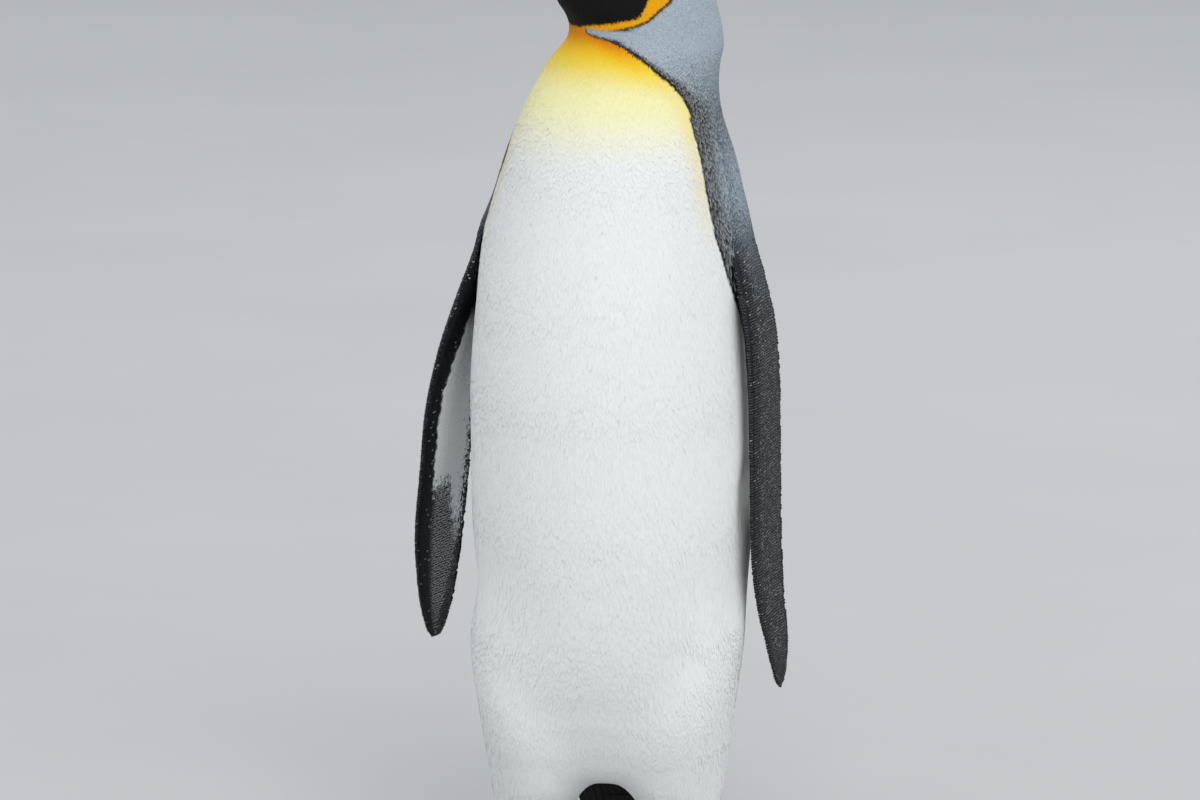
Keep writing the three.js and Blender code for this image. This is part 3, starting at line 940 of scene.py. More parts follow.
# The nodes that the skin stands for, and the parts of it that no feathers cover.
FLESH = ["head", "neck", "trunk", "tail", "leg_left", "leg_right", "foot_left", "foot_right",
         "flipper_left", "flipper_right"]
BARE_PARTS = ["foot", "lid"]
# The remesh's cell in metres, and how many rounds smooth the whole body and then its soft parts.
SKIN_VOXEL, FOOT_VOXEL = 0.0031, 0.0021
BODY_ROUNDS, SOFT_ROUNDS, FOOT_ROUNDS = 14, 240, 5


def nearest_part(points, lofts, reach=12):
    """The name of the loft whose surface is nearest to each point."""
    gaps = []
    for loft_points, faces in lofts.values():
        tree = BVHTree.FromPolygons(loft_points.tolist(), faces)
        found = [tree.find_nearest(point, reach)[3] for point in points.tolist()]
        gaps.append([reach if gap is None else gap for gap in found])
    return np.array(list(lofts), dtype="U16")[np.argmin(gaps, axis=0)]


def coat_depth(points, part):
    """How far the skin lies inside the coat's outer surface, in millimetres."""
    z = points[:, 2]
    depth = 1.5 - 0.6 * smoothstep(690, 745, z)
    depth = np.where(on_flipper(part), 0.6 + 0.9 * smoothstep(430, 520, z), depth)
    return np.where(np.char.startswith(part, "leg"), 0.7 + 0.8 * smoothstep(30, 80, z), depth)


def lid_loft(side):
    """A ring of bare skin round an eye: a tube on the eyeball, a little longer than it is high."""
    gaze, ahead, up = eye_axes(side)

    def place(angle, t):
        round_eye = 2 * np.pi * t
        thick = LID["thickness"] * (1 + 0.15 * np.sin(round_eye))
        reach = LID["radius"] + thick * np.cos(angle)
        lift = LID["lift"] + thick * np.sin(angle)
        local = (
            gaze * lift[..., None]
            + ahead * (reach * LID["length_share"] * np.cos(round_eye))[..., None]
            + up * (reach * np.sin(round_eye))[..., None]
        )
        return apart(from_head(local + eye_centre(side)))

    return loop_loft(14, 56, place)


def gap_to_eyes(points):
    """Distance from each point to the middle of the nearer eye."""
    return np.min([np.linalg.norm(points - from_head(eye_centre(side)), axis=1) for side in (1, -1)], axis=0)


def brow_height(points):
    """How far the face swells out round the eyes."""
    gap = gap_to_eyes(points)
    return BROW["height"] * np.exp(-((gap - 6) / BROW["spread"]) ** 2)


def fold_depth(points):
    total = np.zeros(len(points))
    for fold in FOLDS:
        gap = gap_to_line(points, fold["through"])
        total += fold["depth"] * np.exp(-(gap / fold["spread"]) ** 2)
    return total


def softened(points, edges, part):
    """The body relaxed, most where limbs join it, and how far that has drawn each point in."""
    winged = on_flipper(part)
    softness = np.where(winged & (points[:, 2] < 500), 0.12, 0.5)
    softness = np.where((part == "head") | (points[:, 2] > 735), 0.3, softness)
    softness = softness * (1 - 0.75 * smoothstep(44, 56, -in_head(points)[:, 1]) * (part == "head"))
    points = relaxed(points, edges, softness, BODY_ROUNDS)
    hips = smoothstep(390, 260, points[:, 2]) * smoothstep(86, 130, points[:, 2])
    start = np.where(winged, 500, 420)
    shoulders = smoothstep(start, 540, points[:, 2]) * smoothstep(640, 610, points[:, 2])
    loose = np.maximum(hips * ~winged, shoulders) * (part != "tail")
    shrunk = np.where(part == "tail", 0, 2.3 * hips + 0.4 * shoulders) * ~winged
    return relaxed(points, edges, 0.5 * loose, SOFT_ROUNDS), shrunk


def build_body(lofts):
    """Trunk, neck, head, tail, legs and flippers as one surface, drawn in by the coat's depth."""
    points, quads = remeshed("rough_skin", list(lofts.values()), SKIN_VOXEL)
    points = to_bird(points)
    part = nearest_part(points, lofts)
    points, shrunk = softened(points, edges_of(quads), part)
    normals = normals_of(points, quads)
    folds = fold_depth(points) * ~on_flipper(part)
    inset = coat_depth(points, part) + folds - shrunk - brow_height(points)
    z = points[:, 2]
    points = points - normals * inset[:, None]
    for flipper, on in blades(part):
        points[on] = mix(points[on], thin_flipper(points[on], flipper), smoothstep(540, 490, z[on]))
    on = part == "tail"
    free = smoothstep(20, 50, (points[on] - TAIL_ROOT) @ TAIL_AHEAD)
    points[on] = mix(points[on], thin_tail(points[on]), free)
    return points, quads, part


def build_foot(side):
    """One bare foot: ankle, toes, heel pad, hind toe and web."""
    hind = (side * (HEEL[0] - 20), HEEL[1] - 6, 8)
    shapes = [ankle_loft(side), web_loft(side)]
    shapes += [toe_loft(side, toe) for toe in TOES.values()]
    shapes.append(ellipsoid_loft((side * HEEL[0], HEEL[1], 13), (22, 27, 16)))
    shapes.append(ellipsoid_loft(hind, (5.5, 14, 5.5), side * (TOE_OUT - 38)))
    points, quads = remeshed("rough_foot", shapes, FOOT_VOXEL)
    points = to_bird(points)
    points = relaxed(points, edges_of(quads), np.full(len(points), 0.5), FOOT_ROUNDS)
    points[:, 2] = np.maximum(points[:, 2], FLOOR_GAP["feet"])
    return points, quads


def build_skin():
    """The flesh as one object: the body, the feet that it stands on and the lids round its eyes."""
    lofts = {"body": body_loft(), "head": head_loft(), "tail": tail_loft()}
    for name, side in SIDES.items():
        lofts["leg_" + name] = limb_loft(side)
        lofts["flipper_" + name] = flipper_loft(FLIPPERS[name])
    made = [build_body(lofts)]
    made += [(*build_foot(side), "foot") for side in SIDES.values()]
    made += [(*lid_loft(side), "lid") for side in SIDES.values()]
    starts = np.cumsum([0] + [len(points) for points, _, _ in made])
    quads = np.concatenate([cells + start for (_, cells, _), start in zip(made, starts)])
    points = np.concatenate([points for points, _, _ in made])
    part = np.concatenate([np.broadcast_to(np.array(label, "U16"), len(at)) for at, _, label in made])
    skin = mesh_object("skin", to_row(points), quads, SKIN_LOOK)
    paint(skin, skin_markings(points, part), np.isin(part, BARE_PARTS))
    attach(skin, "root")
    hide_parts(*FLESH)
    return points, quads, part


# ---- Coat ----

# The rows of a flipper's feathers: their spacing, how far each bows down at its ends, and where they begin.
ROW = {"along": 2.1, "across": 2.1, "bow": 3, "top": 500}
TIP_PALE = colour(232, 235, 235)
PATCH = 0.003  # how far each feather reaches on the bake's map
# How spots are spread: tries for each feather, then a feather's area and its reach, both in spacings.
TRIES, SPOT_AREA, SPOT_REACH = 2.6, 0.82, 0.80
# How much feathers differ in size, how far they stray, how deep their roots lie and how far their tips rise.
VARY, STIFF_STRAY, SOFT_STRAY, ROOT_DEPTH, TIP_RISE = 0.08, 0.04, 0.055, 0.05, 0.65


def lie_of_coat(points, normals, part):
    """The direction in which feathers point: down the body, back over the head, and along the tail."""
    z = points[:, 2]
    down = np.broadcast_to([0.0, 0.12, -1.0], points.shape)
    back_from_bill = HEAD_AXES @ np.array([0, 1, -0.35])
    over_head = smoothstep(705, 762, z) * (1 - on_flipper(part))
    lie = down * (1 - over_head)[:, None] + back_from_bill * over_head[:, None]
    lie = np.where((part == "tail")[:, None], TAIL_AHEAD, lie)
    for flipper, on in blades(part):
        _, lead = flipper_axes(flipper)
        lie[on] = lie[on] - 0.22 * lead
    lie = lie - normals * (lie * normals).sum(1)[:, None]
    return unit(lie)


# Feather length, width and spacing by height on the body, in millimetres.
feather_length = curve((30, 5), (90, 9), (160, 12), (300, 14), (450, 13), (560, 10), (625, 6), (645, 3.9),
                       (690, 4.4), (745, 4.2), (800, 4.0))
feather_width = curve((30, 2.0), (90, 2.9), (160, 3.3), (300, 3.4), (450, 3.3), (560, 2.9), (625, 2.4),
                      (645, 1.6), (690, 1.9), (745, 1.8), (800, 1.8))
feather_spacing = curve((30, 1.6), (90, 1.8), (160, 1.9), (300, 1.95), (450, 1.9), (560, 1.7), (625, 1.45),
                        (645, 1.0), (690, 1.15), (745, 1.15), (800, 1.2))


# The same three measures on the flippers and on the tail.
FLIPPER_FEATHER = np.array([4.4, 2.4, 1.9])
TAIL_FEATHER = np.array([16, 4.6, 3.0])


def feather_sizes(points, part):
    """Length, width and spacing of the feathers rooted at points, smallest on the face and the flippers."""
    z = points[:, 2]
    sizes = np.stack([feather_length(z), feather_width(z), feather_spacing(z)], -1)
    ahead = -in_head(points)[:, 1]
    face = smoothstep(5, 55, ahead) * smoothstep(700, 730, z)
    sizes = sizes * (1 - 0.36 * face)[:, None]
    scaly = on_flipper(part)[:, None] * smoothstep(600, 480, z)[:, None]
    sizes = sizes * (1 - scaly) + FLIPPER_FEATHER * scaly
    return np.where((part == "tail")[:, None], TAIL_FEATHER, sizes)


def feather_lift(points, part):
    """How steeply feathers rise from the skin, and how high the ridge along them is in widths."""
    z = points[:, 2]
    back = smoothstep(85, 100, np.abs(body_angle(points))) * (z > 100)
    dark_coat = np.maximum(back, smoothstep(640, 670, z))
    flipper = on_flipper(part)
    lift = np.where(flipper, 0.13, 0.034 + 0.061 * dark_coat + 0.04 * smoothstep(700, 740, z))
    return lift, np.where(flipper, 0.14, 0.019 + 0.081 * dark_coat)


def scattered(points, quads, part, keep):
    """Evenly spread spots on the skin: places, normals and parts."""
    triangles = np.concatenate([quads[:, [0, 1, 2]], quads[:, [0, 2, 3]]])
    triangles = triangles[keep[triangles[:, 0]]]
    a, b, c = (points[triangles[:, i]] for i in range(3))
    cross = np.cross(b - a, c - a)
    area = np.linalg.norm(cross, axis=1) / 2
    spacing = feather_sizes(a, part[triangles[:, 0]])[:, 2]
    wanted = area / (spacing ** 2 * SPOT_AREA)
    picks = rng.choice(len(triangles), int(wanted.sum() * TRIES), p=wanted / wanted.sum())
    u, v = rng.random((2, len(picks)))
    over = u + v > 1
    u, v = np.where(over, 1 - u, u)[:, None], np.where(over, 1 - v, v)[:, None]
    spots = a[picks] + (b - a)[picks] * u + (c - a)[picks] * v
    near = part[triangles[picks, 0]]
    reach = feather_sizes(spots, near)[:, 2] * SPOT_REACH
    kept = thinned(spots, reach)
    return spots[kept], triangles[picks[kept]], near[kept]


def thinned(spots, reach):
    """Indices of spots left when each one kept drops those within its own reach."""
    tree = KDTree(len(spots))
    for i, spot in enumerate(spots.tolist()):
        tree.insert(spot, i)
    tree.balance()
    gone = np.zeros(len(spots), bool)
    kept = []
    for i, (spot, radius) in enumerate(zip(spots.tolist(), reach.tolist())):
        if gone[i]:
            continue
        kept.append(i)
        for _, other, _ in tree.find_range(spot, radius):
            gone[other] = True
    return np.array(kept)


# A vane: points across it, along it and above its plane, the last in ridge heights, and its closed faces.
VANE_POINTS = np.array([
    (0, 0, -0.5), (0.5, 0.5, 0), (0.37, 0.82, 0), (0, 1, 0), (-0.37, 0.82, 0), (-0.5, 0.5, 0), (0, 0.62, 1.0),
])
VANE_TIP = 3
VANE_FACES = np.array([
    (6, 0, 1), (6, 1, 2), (6, 2, 3), (6, 3, 4), (6, 4, 5), (6, 5, 0),
    (0, 5, 1), (5, 4, 1), (4, 2, 1), (4, 3, 2),
])


def strayed(lie, normals, stray):
    """The lie of each feather turned a little at random about the skin's normal."""
    yaw = rng.normal(0, 1.0, len(lie))[:, None] * stray[:, None]
    side = unit(np.cross(lie, normals))
    return lie * np.cos(yaw) + side * np.sin(yaw)


def aimed(spots, normals, ahead, length, lift, surface):
    """Directions that carry each feather's tip to a small height over the skin, in hollows and on bends."""
    tree = surface[0]
    height = (length * lift * TIP_RISE)[:, None]
    tips = spots + ahead * length[:, None] + normals * height
    found = [tree.find_nearest(tip) for tip in tips.tolist()]
    below = np.array([tuple(at) for at, _, _, _ in found]).reshape(-1, 3)
    facing = np.array([tuple(normal) for _, normal, _, _ in found]).reshape(-1, 3)
    over = ((tips - below) * facing).sum(1)[:, None]
    return unit(tips + facing * (np.clip(over, height, height + 0.3) - over) - spots)


def vanes(spots, normals, ahead, length, width, lift, ridge, stray):
    """Points, faces and soft normals of a closed vane at each spot, arched ahead over the skin."""
    count = len(spots)
    side = unit(np.cross(ahead, normals))
    normals = np.cross(side, ahead)
    roll = rng.normal(0, 0.5, count)[:, None] * stray[:, None]
    up = normals * np.cos(roll) + side * np.sin(roll)
    side = unit(np.cross(ahead, up))
    across, along, height = VANE_POINTS[None].transpose(2, 0, 1)
    long, wide = length[:, None], width[:, None]
    rise = long * lift[:, None] * 0.5 * along * (1 - along) + wide * ridge[:, None] * height
    placed = (
        spots[:, None]
        + side[:, None] * (across * wide)[..., None]
        + ahead[:, None] * (along * long)[..., None]
        + up[:, None] * rise[..., None]
    )
    round_off = (ridge * 5)[:, None]
    soft = unit(
        up[:, None]
        + side[:, None] * (across * 2 * round_off)[..., None]
        + ahead[:, None] * ((along - 0.6) * round_off)[..., None]
    )
    offsets = np.arange(count)[:, None, None] * len(VANE_POINTS)
    return placed.reshape(-1, 3), (VANE_FACES[None] + offsets).reshape(-1, 3), soft.reshape(-1, 3)


def unwrap(spots, part):
    """A place in the unit square for each spot: the angle round the skin there, and the way along it."""
    z = spots[:, 2]
    u = body_angle(spots) / 360 + 0.5
    v = (z - 20) / 800
    local = in_head(spots)
    on_head = z > 700
    u = np.where(on_head, np.arctan2(local[:, 0], local[:, 2]) / (2 * np.pi) + 0.5, u)
    v = np.where(on_head, (60 - local[:, 1]) / 130, v)
    for name, flipper in FLIPPERS.items():
        on = part == "flipper_" + name
        t, across, outward = blade_place(spots[on], flipper)
        u[on] = 0.25 + 0.23 * np.clip(across, -1.05, 1.05) + 0.5 * (outward > 0)
        v[on] = 1 - t
        on_leg = part == "leg_" + name
        middle = flipper["side"] * (leg["outer"](z[on_leg]) + leg["inner"](z[on_leg])) / 2
        u[on_leg] = np.arctan2(spots[on_leg, 0] - middle, spots[on_leg, 1] - LEG_SHIFT) / (2 * np.pi) + 0.5
        v[on_leg] = z[on_leg] / 270
    on_tail = part == "tail"
    u[on_tail] = 0.5 + spots[on_tail, 0] / 90
    v[on_tail] = (spots[on_tail] - TAIL_ROOT) @ TAIL_AHEAD / 200 + 0.05
    return np.clip(np.stack([u, v], -1), 0.003, 0.994)


def map_tufts(made, places):
    """Each vane is a small patch of the bake's map, at its root's place."""
    local = np.stack([VANE_POINTS[:, 0] + 0.5, VANE_POINTS[:, 1]], -1) * PATCH
    map_bake(made, (places[:, None] + local[None]).reshape(-1, 2))


def vane_colours(placed, part):
    """Colours over the vanes: the markings at each point, darker at dark roots and paler at dark tips."""
    corners = len(VANE_POINTS)
    count = len(part)
    shape = placed.reshape(count, corners, 3)
    tips = shape[:, VANE_TIP]
    shown = (shape + rng.normal(0, 0.35, (count, 1, 3))).reshape(-1, 3)
    base = skin_markings(shown, np.repeat(part, corners))
    along = np.tile(VANE_POINTS[:, 1], count)
    dark = smoothstep(0.6, 0.2, base.max(1))
    vary = np.repeat(rng.normal(0, 1.0, count), corners) * (0.007 + 0.1 * dark)
    tip = smoothstep(0.4, 1.0, along)
    shade = 1 + vary + (tip - 0.6) * (0.02 + 0.5 * dark)
    speckle = np.repeat(tip_speckle(tips, part), corners) * smoothstep(0.62, 0.92, along)
    return np.clip(mix(base * shade[:, None], TIP_PALE, speckle), 0, 1)


def scattered_shade(down, along):
    """A share from 0 to 1 that is the same within a small cell and unlike its neighbours'."""
    return np.mod(np.sin(np.floor(down) * 12.9898 + np.floor(along) * 78.233) * 43758.5453, 1)


def flipper_speckle(points, flipper, some):
    """How pale the feathers' tips are on a flipper: most on the far half of its underside."""
    t, across, outward = blade_place(points, flipper)
    z = points[:, 2]
    under = (outward < -1) * smoothstep(0.6, 0.7, t) * smoothstep(0.6, 0.3, across)
    fleck = scattered_shade(z / ROW["along"], across * blade["chord"](t) / 12)
    lower = smoothstep(545, 440, z) * smoothstep(0.75, 0.5, across)
    outer = (outward > -1) * (0.15 + 0.38 * lower * fleck ** 2) * (0.5 + some)
    flecks = (some > 0.97) * 0.8 * (across > 0.1) * (z < 500)
    return np.max([under, outer, flecks], axis=0)


def back_speckle(points, some):
    """How pale the feathers' tips are on the grey of the back and the nape."""
    angle, z = body_angle(points), points[:, 2]
    above = z > THROAT - 2
    past = np.where(above, 20, past_edge(angle, z, breast_edge))
    nape = smoothstep(0, 1, past_edge(angle, z, ear_back_edge) - ear_border(z))
    grey = smoothstep(1, 3, past) * np.where(above, nape, 1)
    return 0.4 * grey * (0.3 + some)


def tip_speckle(points, part):
    """How pale the tips of the dark feathers are, each by a share of its own."""
    pale = np.zeros(len(points))
    some = rng.random(len(points))
    z = points[:, 2]
    for flipper, on in blades(part):
        pale[on] = flipper_speckle(points[on], flipper, some[on])
    body = np.isin(part, ["body", "head"]) | ((z > 505) & on_flipper(part))
    plain = (z > 100) & (z < 720) & body
    pale[plain] = back_speckle(points[plain], some[plain])
    return np.clip(pale, 0, 1)


def feather_spots(flesh):
    """Where feathers are rooted, with the skin's normals there and the part that each belongs to."""
    points, quads, label = flesh
    bare = np.isin(label, BARE_PARTS) | (gap_to_eyes(points) < EYE["radius"] - 0.8)
    bare |= (points[:, 2] < ANKLE + 2) & (label != "tail")
    bare |= on_flipper(label) & (points[:, 2] < ROW["top"])
    normals = normals_of(points, quads)
    spots, corners, part = scattered(points, quads, label, ~bare)
    smooth = unit(normals[corners].sum(1))
    tips = spots + lie_of_coat(spots, smooth, part) * feather_sizes(spots, part)[:, :1]
    along_tail = (spots - TAIL_ROOT) @ TAIL_AHEAD
    kept = (gap_to_eyes(tips) > EYE["radius"] - 0.2) & ((part != "tail") | (along_tail < 0.42 * TAIL_LENGTH))
    spots, smooth, part = spots[kept], smooth[kept], part[kept]
    body = quads[~np.isin(label[quads[:, 0]], BARE_PARTS)]
    tree = BVHTree.FromPolygons(points.tolist(), body.tolist())
    surface = (tree, normals, label, body)
    rows = [flipper_rows(name, surface) for name in FLIPPERS]
    below = [at[:, 2] < ROW["top"] for at, _, _ in rows]
    return {
        "surface": surface,
        "spots": np.concatenate([spots] + [row[0][low] for row, low in zip(rows, below)]),
        "normals": np.concatenate([smooth] + [row[1][low] for row, low in zip(rows, below)]),
        "part": np.concatenate([part] + [row[2][low] for row, low in zip(rows, below)]),
    }


def coat_piece(name, chosen, coat, material):
    """One object of the feathers at the chosen spots."""
    spots, normals, part = coat["spots"][chosen], coat["normals"][chosen], coat["part"][chosen]
    lie = lie_of_coat(spots, normals, part)
    sizes = feather_sizes(spots, part)
    lift, ridge = feather_lift(spots, part)
    vary = rng.normal(1, VARY, (len(spots), 3))
    stiff = (on_flipper(part) & (spots[:, 2] < ROW["top"])) | (part == "tail")
    stray = np.where(stiff, STIFF_STRAY, SOFT_STRAY)
    length = sizes[:, 0] * vary[:, 0] * blade_thinness(spots, part)
    lift = lift * vary[:, 2]
    ahead = strayed(lie, normals, stray)
    spots = spots - normals * ROOT_DEPTH
    ahead[stiff] = unit(ahead[stiff] + normals[stiff] * (TIP_RISE * lift[stiff])[:, None])
    soft_ones = ~stiff
    ahead[soft_ones] = aimed(spots[soft_ones], normals[soft_ones], ahead[soft_ones], length[soft_ones],
                             lift[soft_ones], coat["surface"])
    placed, faces, soft = vanes(spots, normals, ahead, length, sizes[:, 1] * vary[:, 1], lift, ridge, stray)
    placed[:, 2] = np.maximum(placed[:, 2], FLOOR_GAP["feathers"])
    made = mesh_object(name, to_row(placed), faces, material)
    made.data.normals_split_custom_set_from_vertices(soft.astype(np.float32))
    paint(made, vane_colours(placed, part))
    map_tufts(made, unwrap(spots, part))
    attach(made, "root")
    return made


def blade_thinness(points, part):
    """Feathers are shorter towards the edges and the tip of a flipper."""
    share = np.ones(len(points))
    for flipper, on in blades(part):
        t, across, _ = blade_place(points[on], flipper)
        share[on] = 1 - 0.35 * smoothstep(0.6, 0.95, np.abs(across)) - 0.4 * smoothstep(0.9, 0.98, t)
    return share


def flipper_rows(name, surface):
    """Spots in staggered rows down both faces of a flipper, as its scale-like feathers grow."""
    flipper = FLIPPERS[name]
    out, lead = flipper_axes(flipper)
    down = (flipper["top"] - flipper["tip"])
    rows = np.arange(0.12, 0.985, ROW["along"] / down)
    spots = []
    for i, t in enumerate(rows):
        chord = float(blade["chord"](t))
        across = np.arange(-chord / 2 + (i % 2) * ROW["across"] / 2, chord / 2, ROW["across"])
        faces = [(across, 9), (across, -9)]
        faces += [(np.array([-chord, chord]) / 2 * 1.06, off) for off in (-2.2, 0, 2.2)]
        for places, off in faces:
            z = flipper["top"] - down * t - ROW["bow"] * (2 * places / chord) ** 2
            reach = places + blade["sweep"](t)
            x = flipper["leftward"](z) + lead[0] * reach + out[0] * off
            y = flipper["backward"](z) + lead[1] * reach + out[1] * off
            spots.append(np.stack([x, y, z], -1))
    spots = np.concatenate(spots)
    spots = spots + rng.normal(0, 0.18, spots.shape)
    return on_surface(spots, surface, "flipper_" + name)


def on_surface(spots, surface, label):
    """The nearest places on the skin to some spots, with its normals there, where it is part of one limb."""
    tree, normals, part, quads = surface
    found = [tree.find_nearest(spot) for spot in spots.tolist()]
    places = np.array([tuple(at) for at, _, _, _ in found])
    cells = quads[[index for _, _, index, _ in found]]
    smooth = unit(normals[cells].sum(1))
    kept = part[cells[:, 0]] == label
    return places[kept], smooth[kept], np.full(kept.sum(), label, "U16")


# The tail's quills: how many stand in each of its rows, from under to over, and how long and wide they are.
QUILLS = [
    {"count": 12, "root": 58, "length": 113, "width": 9.0, "over": 1, "layer": 0.0},
    {"count": 13, "root": 54, "length": 108, "width": 8.0, "over": -1, "layer": 0.0},
    {"count": 11, "root": 48, "length": 100, "width": 8.5, "over": 1, "layer": 0.9},
    {"count": 10, "root": 38, "length": 76, "width": 8.5, "over": 1, "layer": 1.7},
    {"count": 9, "root": 30, "length": 58, "width": 8.5, "over": 1, "layer": 2.3},
]


def quill_loft(row, share):
    """One stiff tail feather at a share from -1 to 1 across its row: a keeled vane with a shaft down it."""
    length = row["length"] * (1 - 0.1 * share ** 2) * (1 + rng.normal(0, 0.02))
    fan = 1.05 + rng.normal(0, 0.012)

    def place(angle, t):
        at = row["root"] + length * t
        width = row["width"] / 2 * np.minimum(cap(0.25 - t, 0.25), np.clip((1 - t) / 0.16, 0, 1) ** 0.6)
        shaft = 0.7 * np.exp(-(np.sin(angle) / 0.2) ** 2) * (np.cos(angle) > 0) * (1 - t)
        thick = (0.35 + shaft) * np.cos(angle) - 0.5 * np.sin(angle) ** 2
        across = share * fan * (tail["half_width"](at) - 2) * (1 + 0.1 * t) + width * np.sin(angle)
        together = 1 - smoothstep(0.62 * TAIL_LENGTH, 0.95 * TAIL_LENGTH, at)
        bulge = tail["thickness"](at) * np.sqrt(np.clip(1 - share ** 2, 0.05, 1)) * 0.7 * together
        lift = row["over"] * (bulge + 0.5 + row["layer"]) + thick - tail["arch"] * share ** 2
        point = TAIL_ROOT + TAIL_AHEAD * at[..., None] + TAIL_UP * lift[..., None]
        return np.broadcast_arrays(across, point[..., 1], point[..., 2])

    return loft(16, np.linspace(0, 1, 26), place)


def build_quills(material):
    points, faces, places, count = [], [], [], 0
    for row in QUILLS:
        for share in np.linspace(-0.93, 0.93, row["count"]):
            at, cells = quill_loft(row, share)
            points.append(at)
            faces += [tuple(i + count for i in cell) for cell in cells]
            root = at[:1]
            places.append(unwrap(root, np.array(["tail"])).repeat(len(at), axis=0))
            count += len(at)
    points, places = np.concatenate(points), np.concatenate(places)
    points[:, 2] = np.maximum(points[:, 2], FLOOR_GAP["quills"])
    made = mesh_object("tail_quills", to_row(points), faces, material)
    sheen = 0.8 + 0.5 * rng.random(sum(row["count"] for row in QUILLS))
    shade = np.repeat(sheen, len(points) // len(sheen))
    paint(made, np.clip(TAIL_BLACK * shade[:, None], 0, 1))
    low, high = points.min(0), points.max(0)
    map_bake(made, places + ((points - low) / (high - low))[:, :2] * PATCH)
    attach(made, "root")


# The lower edges of the coat's pieces, and the angles round the body and the neck that part front from back.
CUT = {"head": 722, "neck": 640, "chest": 480, "shoulders": 430, "breast": 310, "back": 240}
FRONT, SIDE_OF_NECK = 88, 90


def build_coat(flesh):
    """The feathers, as one object for each region of the body."""
    coat = feather_spots(flesh)
    part, z = coat["part"], coat["spots"][:, 2]
    angle = np.abs(body_angle(coat["spots"]))
    flipper = on_flipper(part)
    legs = np.char.startswith(part, "leg")
    body = ~flipper & ~legs & (part != "tail")
    front = angle < FRONT
    soft = coat_material("feathers", 0.65, 700, 0.05, 0.1)
    stiff = coat_material("flipper_feathers", 0.5, 900, 0.08, 0.25)
    head, neck = body & (z > CUT["head"]), body & (z > CUT["neck"]) & (z <= CUT["head"])
    trunk = body & (z <= CUT["neck"])
    groups = {
        "coat_head": (head, soft, "feather_black"),
        "coat_throat": (neck & (angle < SIDE_OF_NECK), soft, "feather_black"),
        "coat_nape": (neck & (angle >= SIDE_OF_NECK), soft, "feather_grey"),
        "coat_chest": (trunk & front & (z > CUT["chest"]), soft, "feather_white"),
        "coat_breast": (trunk & front & (z > CUT["breast"]) & (z <= CUT["chest"]), soft, "feather_white"),
        "coat_belly": (trunk & front & (z <= CUT["breast"]), soft, "feather_white"),
        "coat_shoulders": (trunk & ~front & (z > CUT["shoulders"]), soft, "feather_grey"),
        "coat_back": (trunk & ~front & (z > CUT["back"]) & (z <= CUT["shoulders"]), soft, "feather_grey"),
        "coat_rump": (trunk & ~front & (z <= CUT["back"]), soft, "feather_grey"),
        "coat_legs": (legs, soft, "feather_white"),
        "coat_flipper_left": (part == "flipper_left", stiff, "flipper_feather"),
        "coat_flipper_right": (part == "flipper_right", stiff, "flipper_feather"),
        "coat_tail": (part == "tail", stiff, "tail_feather"),
    }
    for name, (chosen, material, slot) in groups.items():
        made = coat_piece(name, chosen, coat, material)
    build_quills(stiff)


# ---- Eyes ----

def eye_material():
    """Dark brown iris round a black pupil, by distance from the eye's axis, under a wet clear coat."""
    gloss = {"Specular_IOR_Level": 0.1, "Coat_Weight": 0.5, "Coat_Roughness": 0.02}
    material, tree, shader = nodes_of("eye", 0.15, **gloss)
    flecks = noise_node(tree, 1400, 3)
    shade = ramp_node(tree, flecks.outputs["Fac"], (0.3, 0.6), (0.7, 1.2))
    tint_base(tree, shader, markings_node(tree), shade.outputs["Color"])
    return material


def build_eyes():
    look = eye_material()
    for name, side in SIDES.items():
        build_eye("eye_" + name, side, look)


def build_eye(name, side, material):
    """An eyeball with a slightly raised cornea, looking out to the side and a little ahead."""
    gaze, ahead, up = eye_axes(side)

    def place(angle, t):
        polar = np.pi * t
        radius = EYE["radius"] - EYE["inset"] + EYE["cornea"] * np.exp(-(polar / 0.55) ** 2)
        ring = np.sin(polar) * radius
        local = (
            gaze * (np.cos(polar) * radius)[..., None]
            + ahead * (ring * np.cos(angle))[..., None]
            + up * (ring * np.sin(angle))[..., None]
        )
        return apart(from_head(local + eye_centre(side)))

    points, faces = loft(48, np.linspace(0, 1, 64), place)
    made = mesh_object(name, to_row(points), faces, material)
    polar = np.degrees(np.arccos(np.clip(unit(in_head(points) - eye_centre(side)) @ gaze, -1, 1)))
    tint = mix(np.broadcast_to(PUPIL, points.shape), IRIS, smoothstep(*PUPIL_EDGE, polar))
    tint = mix(tint, EYE_RIM, smoothstep(*IRIS_EDGE, polar))
    paint(made, tint)
    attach(made, "root")
    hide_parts(name)


# ---- Bill and claws ----

def nostril_groove(share, rise):
    """The long hollow on each side of the upper half, which the nostril opens into."""
    length = smoothstep(0.03, 0.09, share) * smoothstep(0.52, 0.3, share)
    return 0.1 * np.exp(-((rise - 0.45) / 0.14) ** 2) * length


def bill_half(depth, side, share_end):
    def place(angle, t):
        share = BILL["root"] + t * (share_end - BILL["root"])
        droop = BILL["droop"] * np.clip(share - 0.3, 0, None) ** 2 / 0.7 ** 2
        ends = np.minimum(cap(0.05 - t, 0.05), cap(t - 0.96, 0.04))
        round_side = np.clip(np.sin(angle), 0, None)
        hollow = 1 - nostril_groove(share, round_side) * (side > 0)
        rise = round_side * depth(share) * ends * hollow
        across = np.cos(angle) * bill_shape["half_width"](share) * ends * hollow
        height = BILL["gape"] - droop + side * (BILL["slit"] + rise)
        ahead = BILL["start"] + BILL["length"] * share
        return apart(from_head(np.stack(np.broadcast_arrays(across, -ahead, height), -1)))

    return loft(56, np.linspace(0, 1, 150), place)


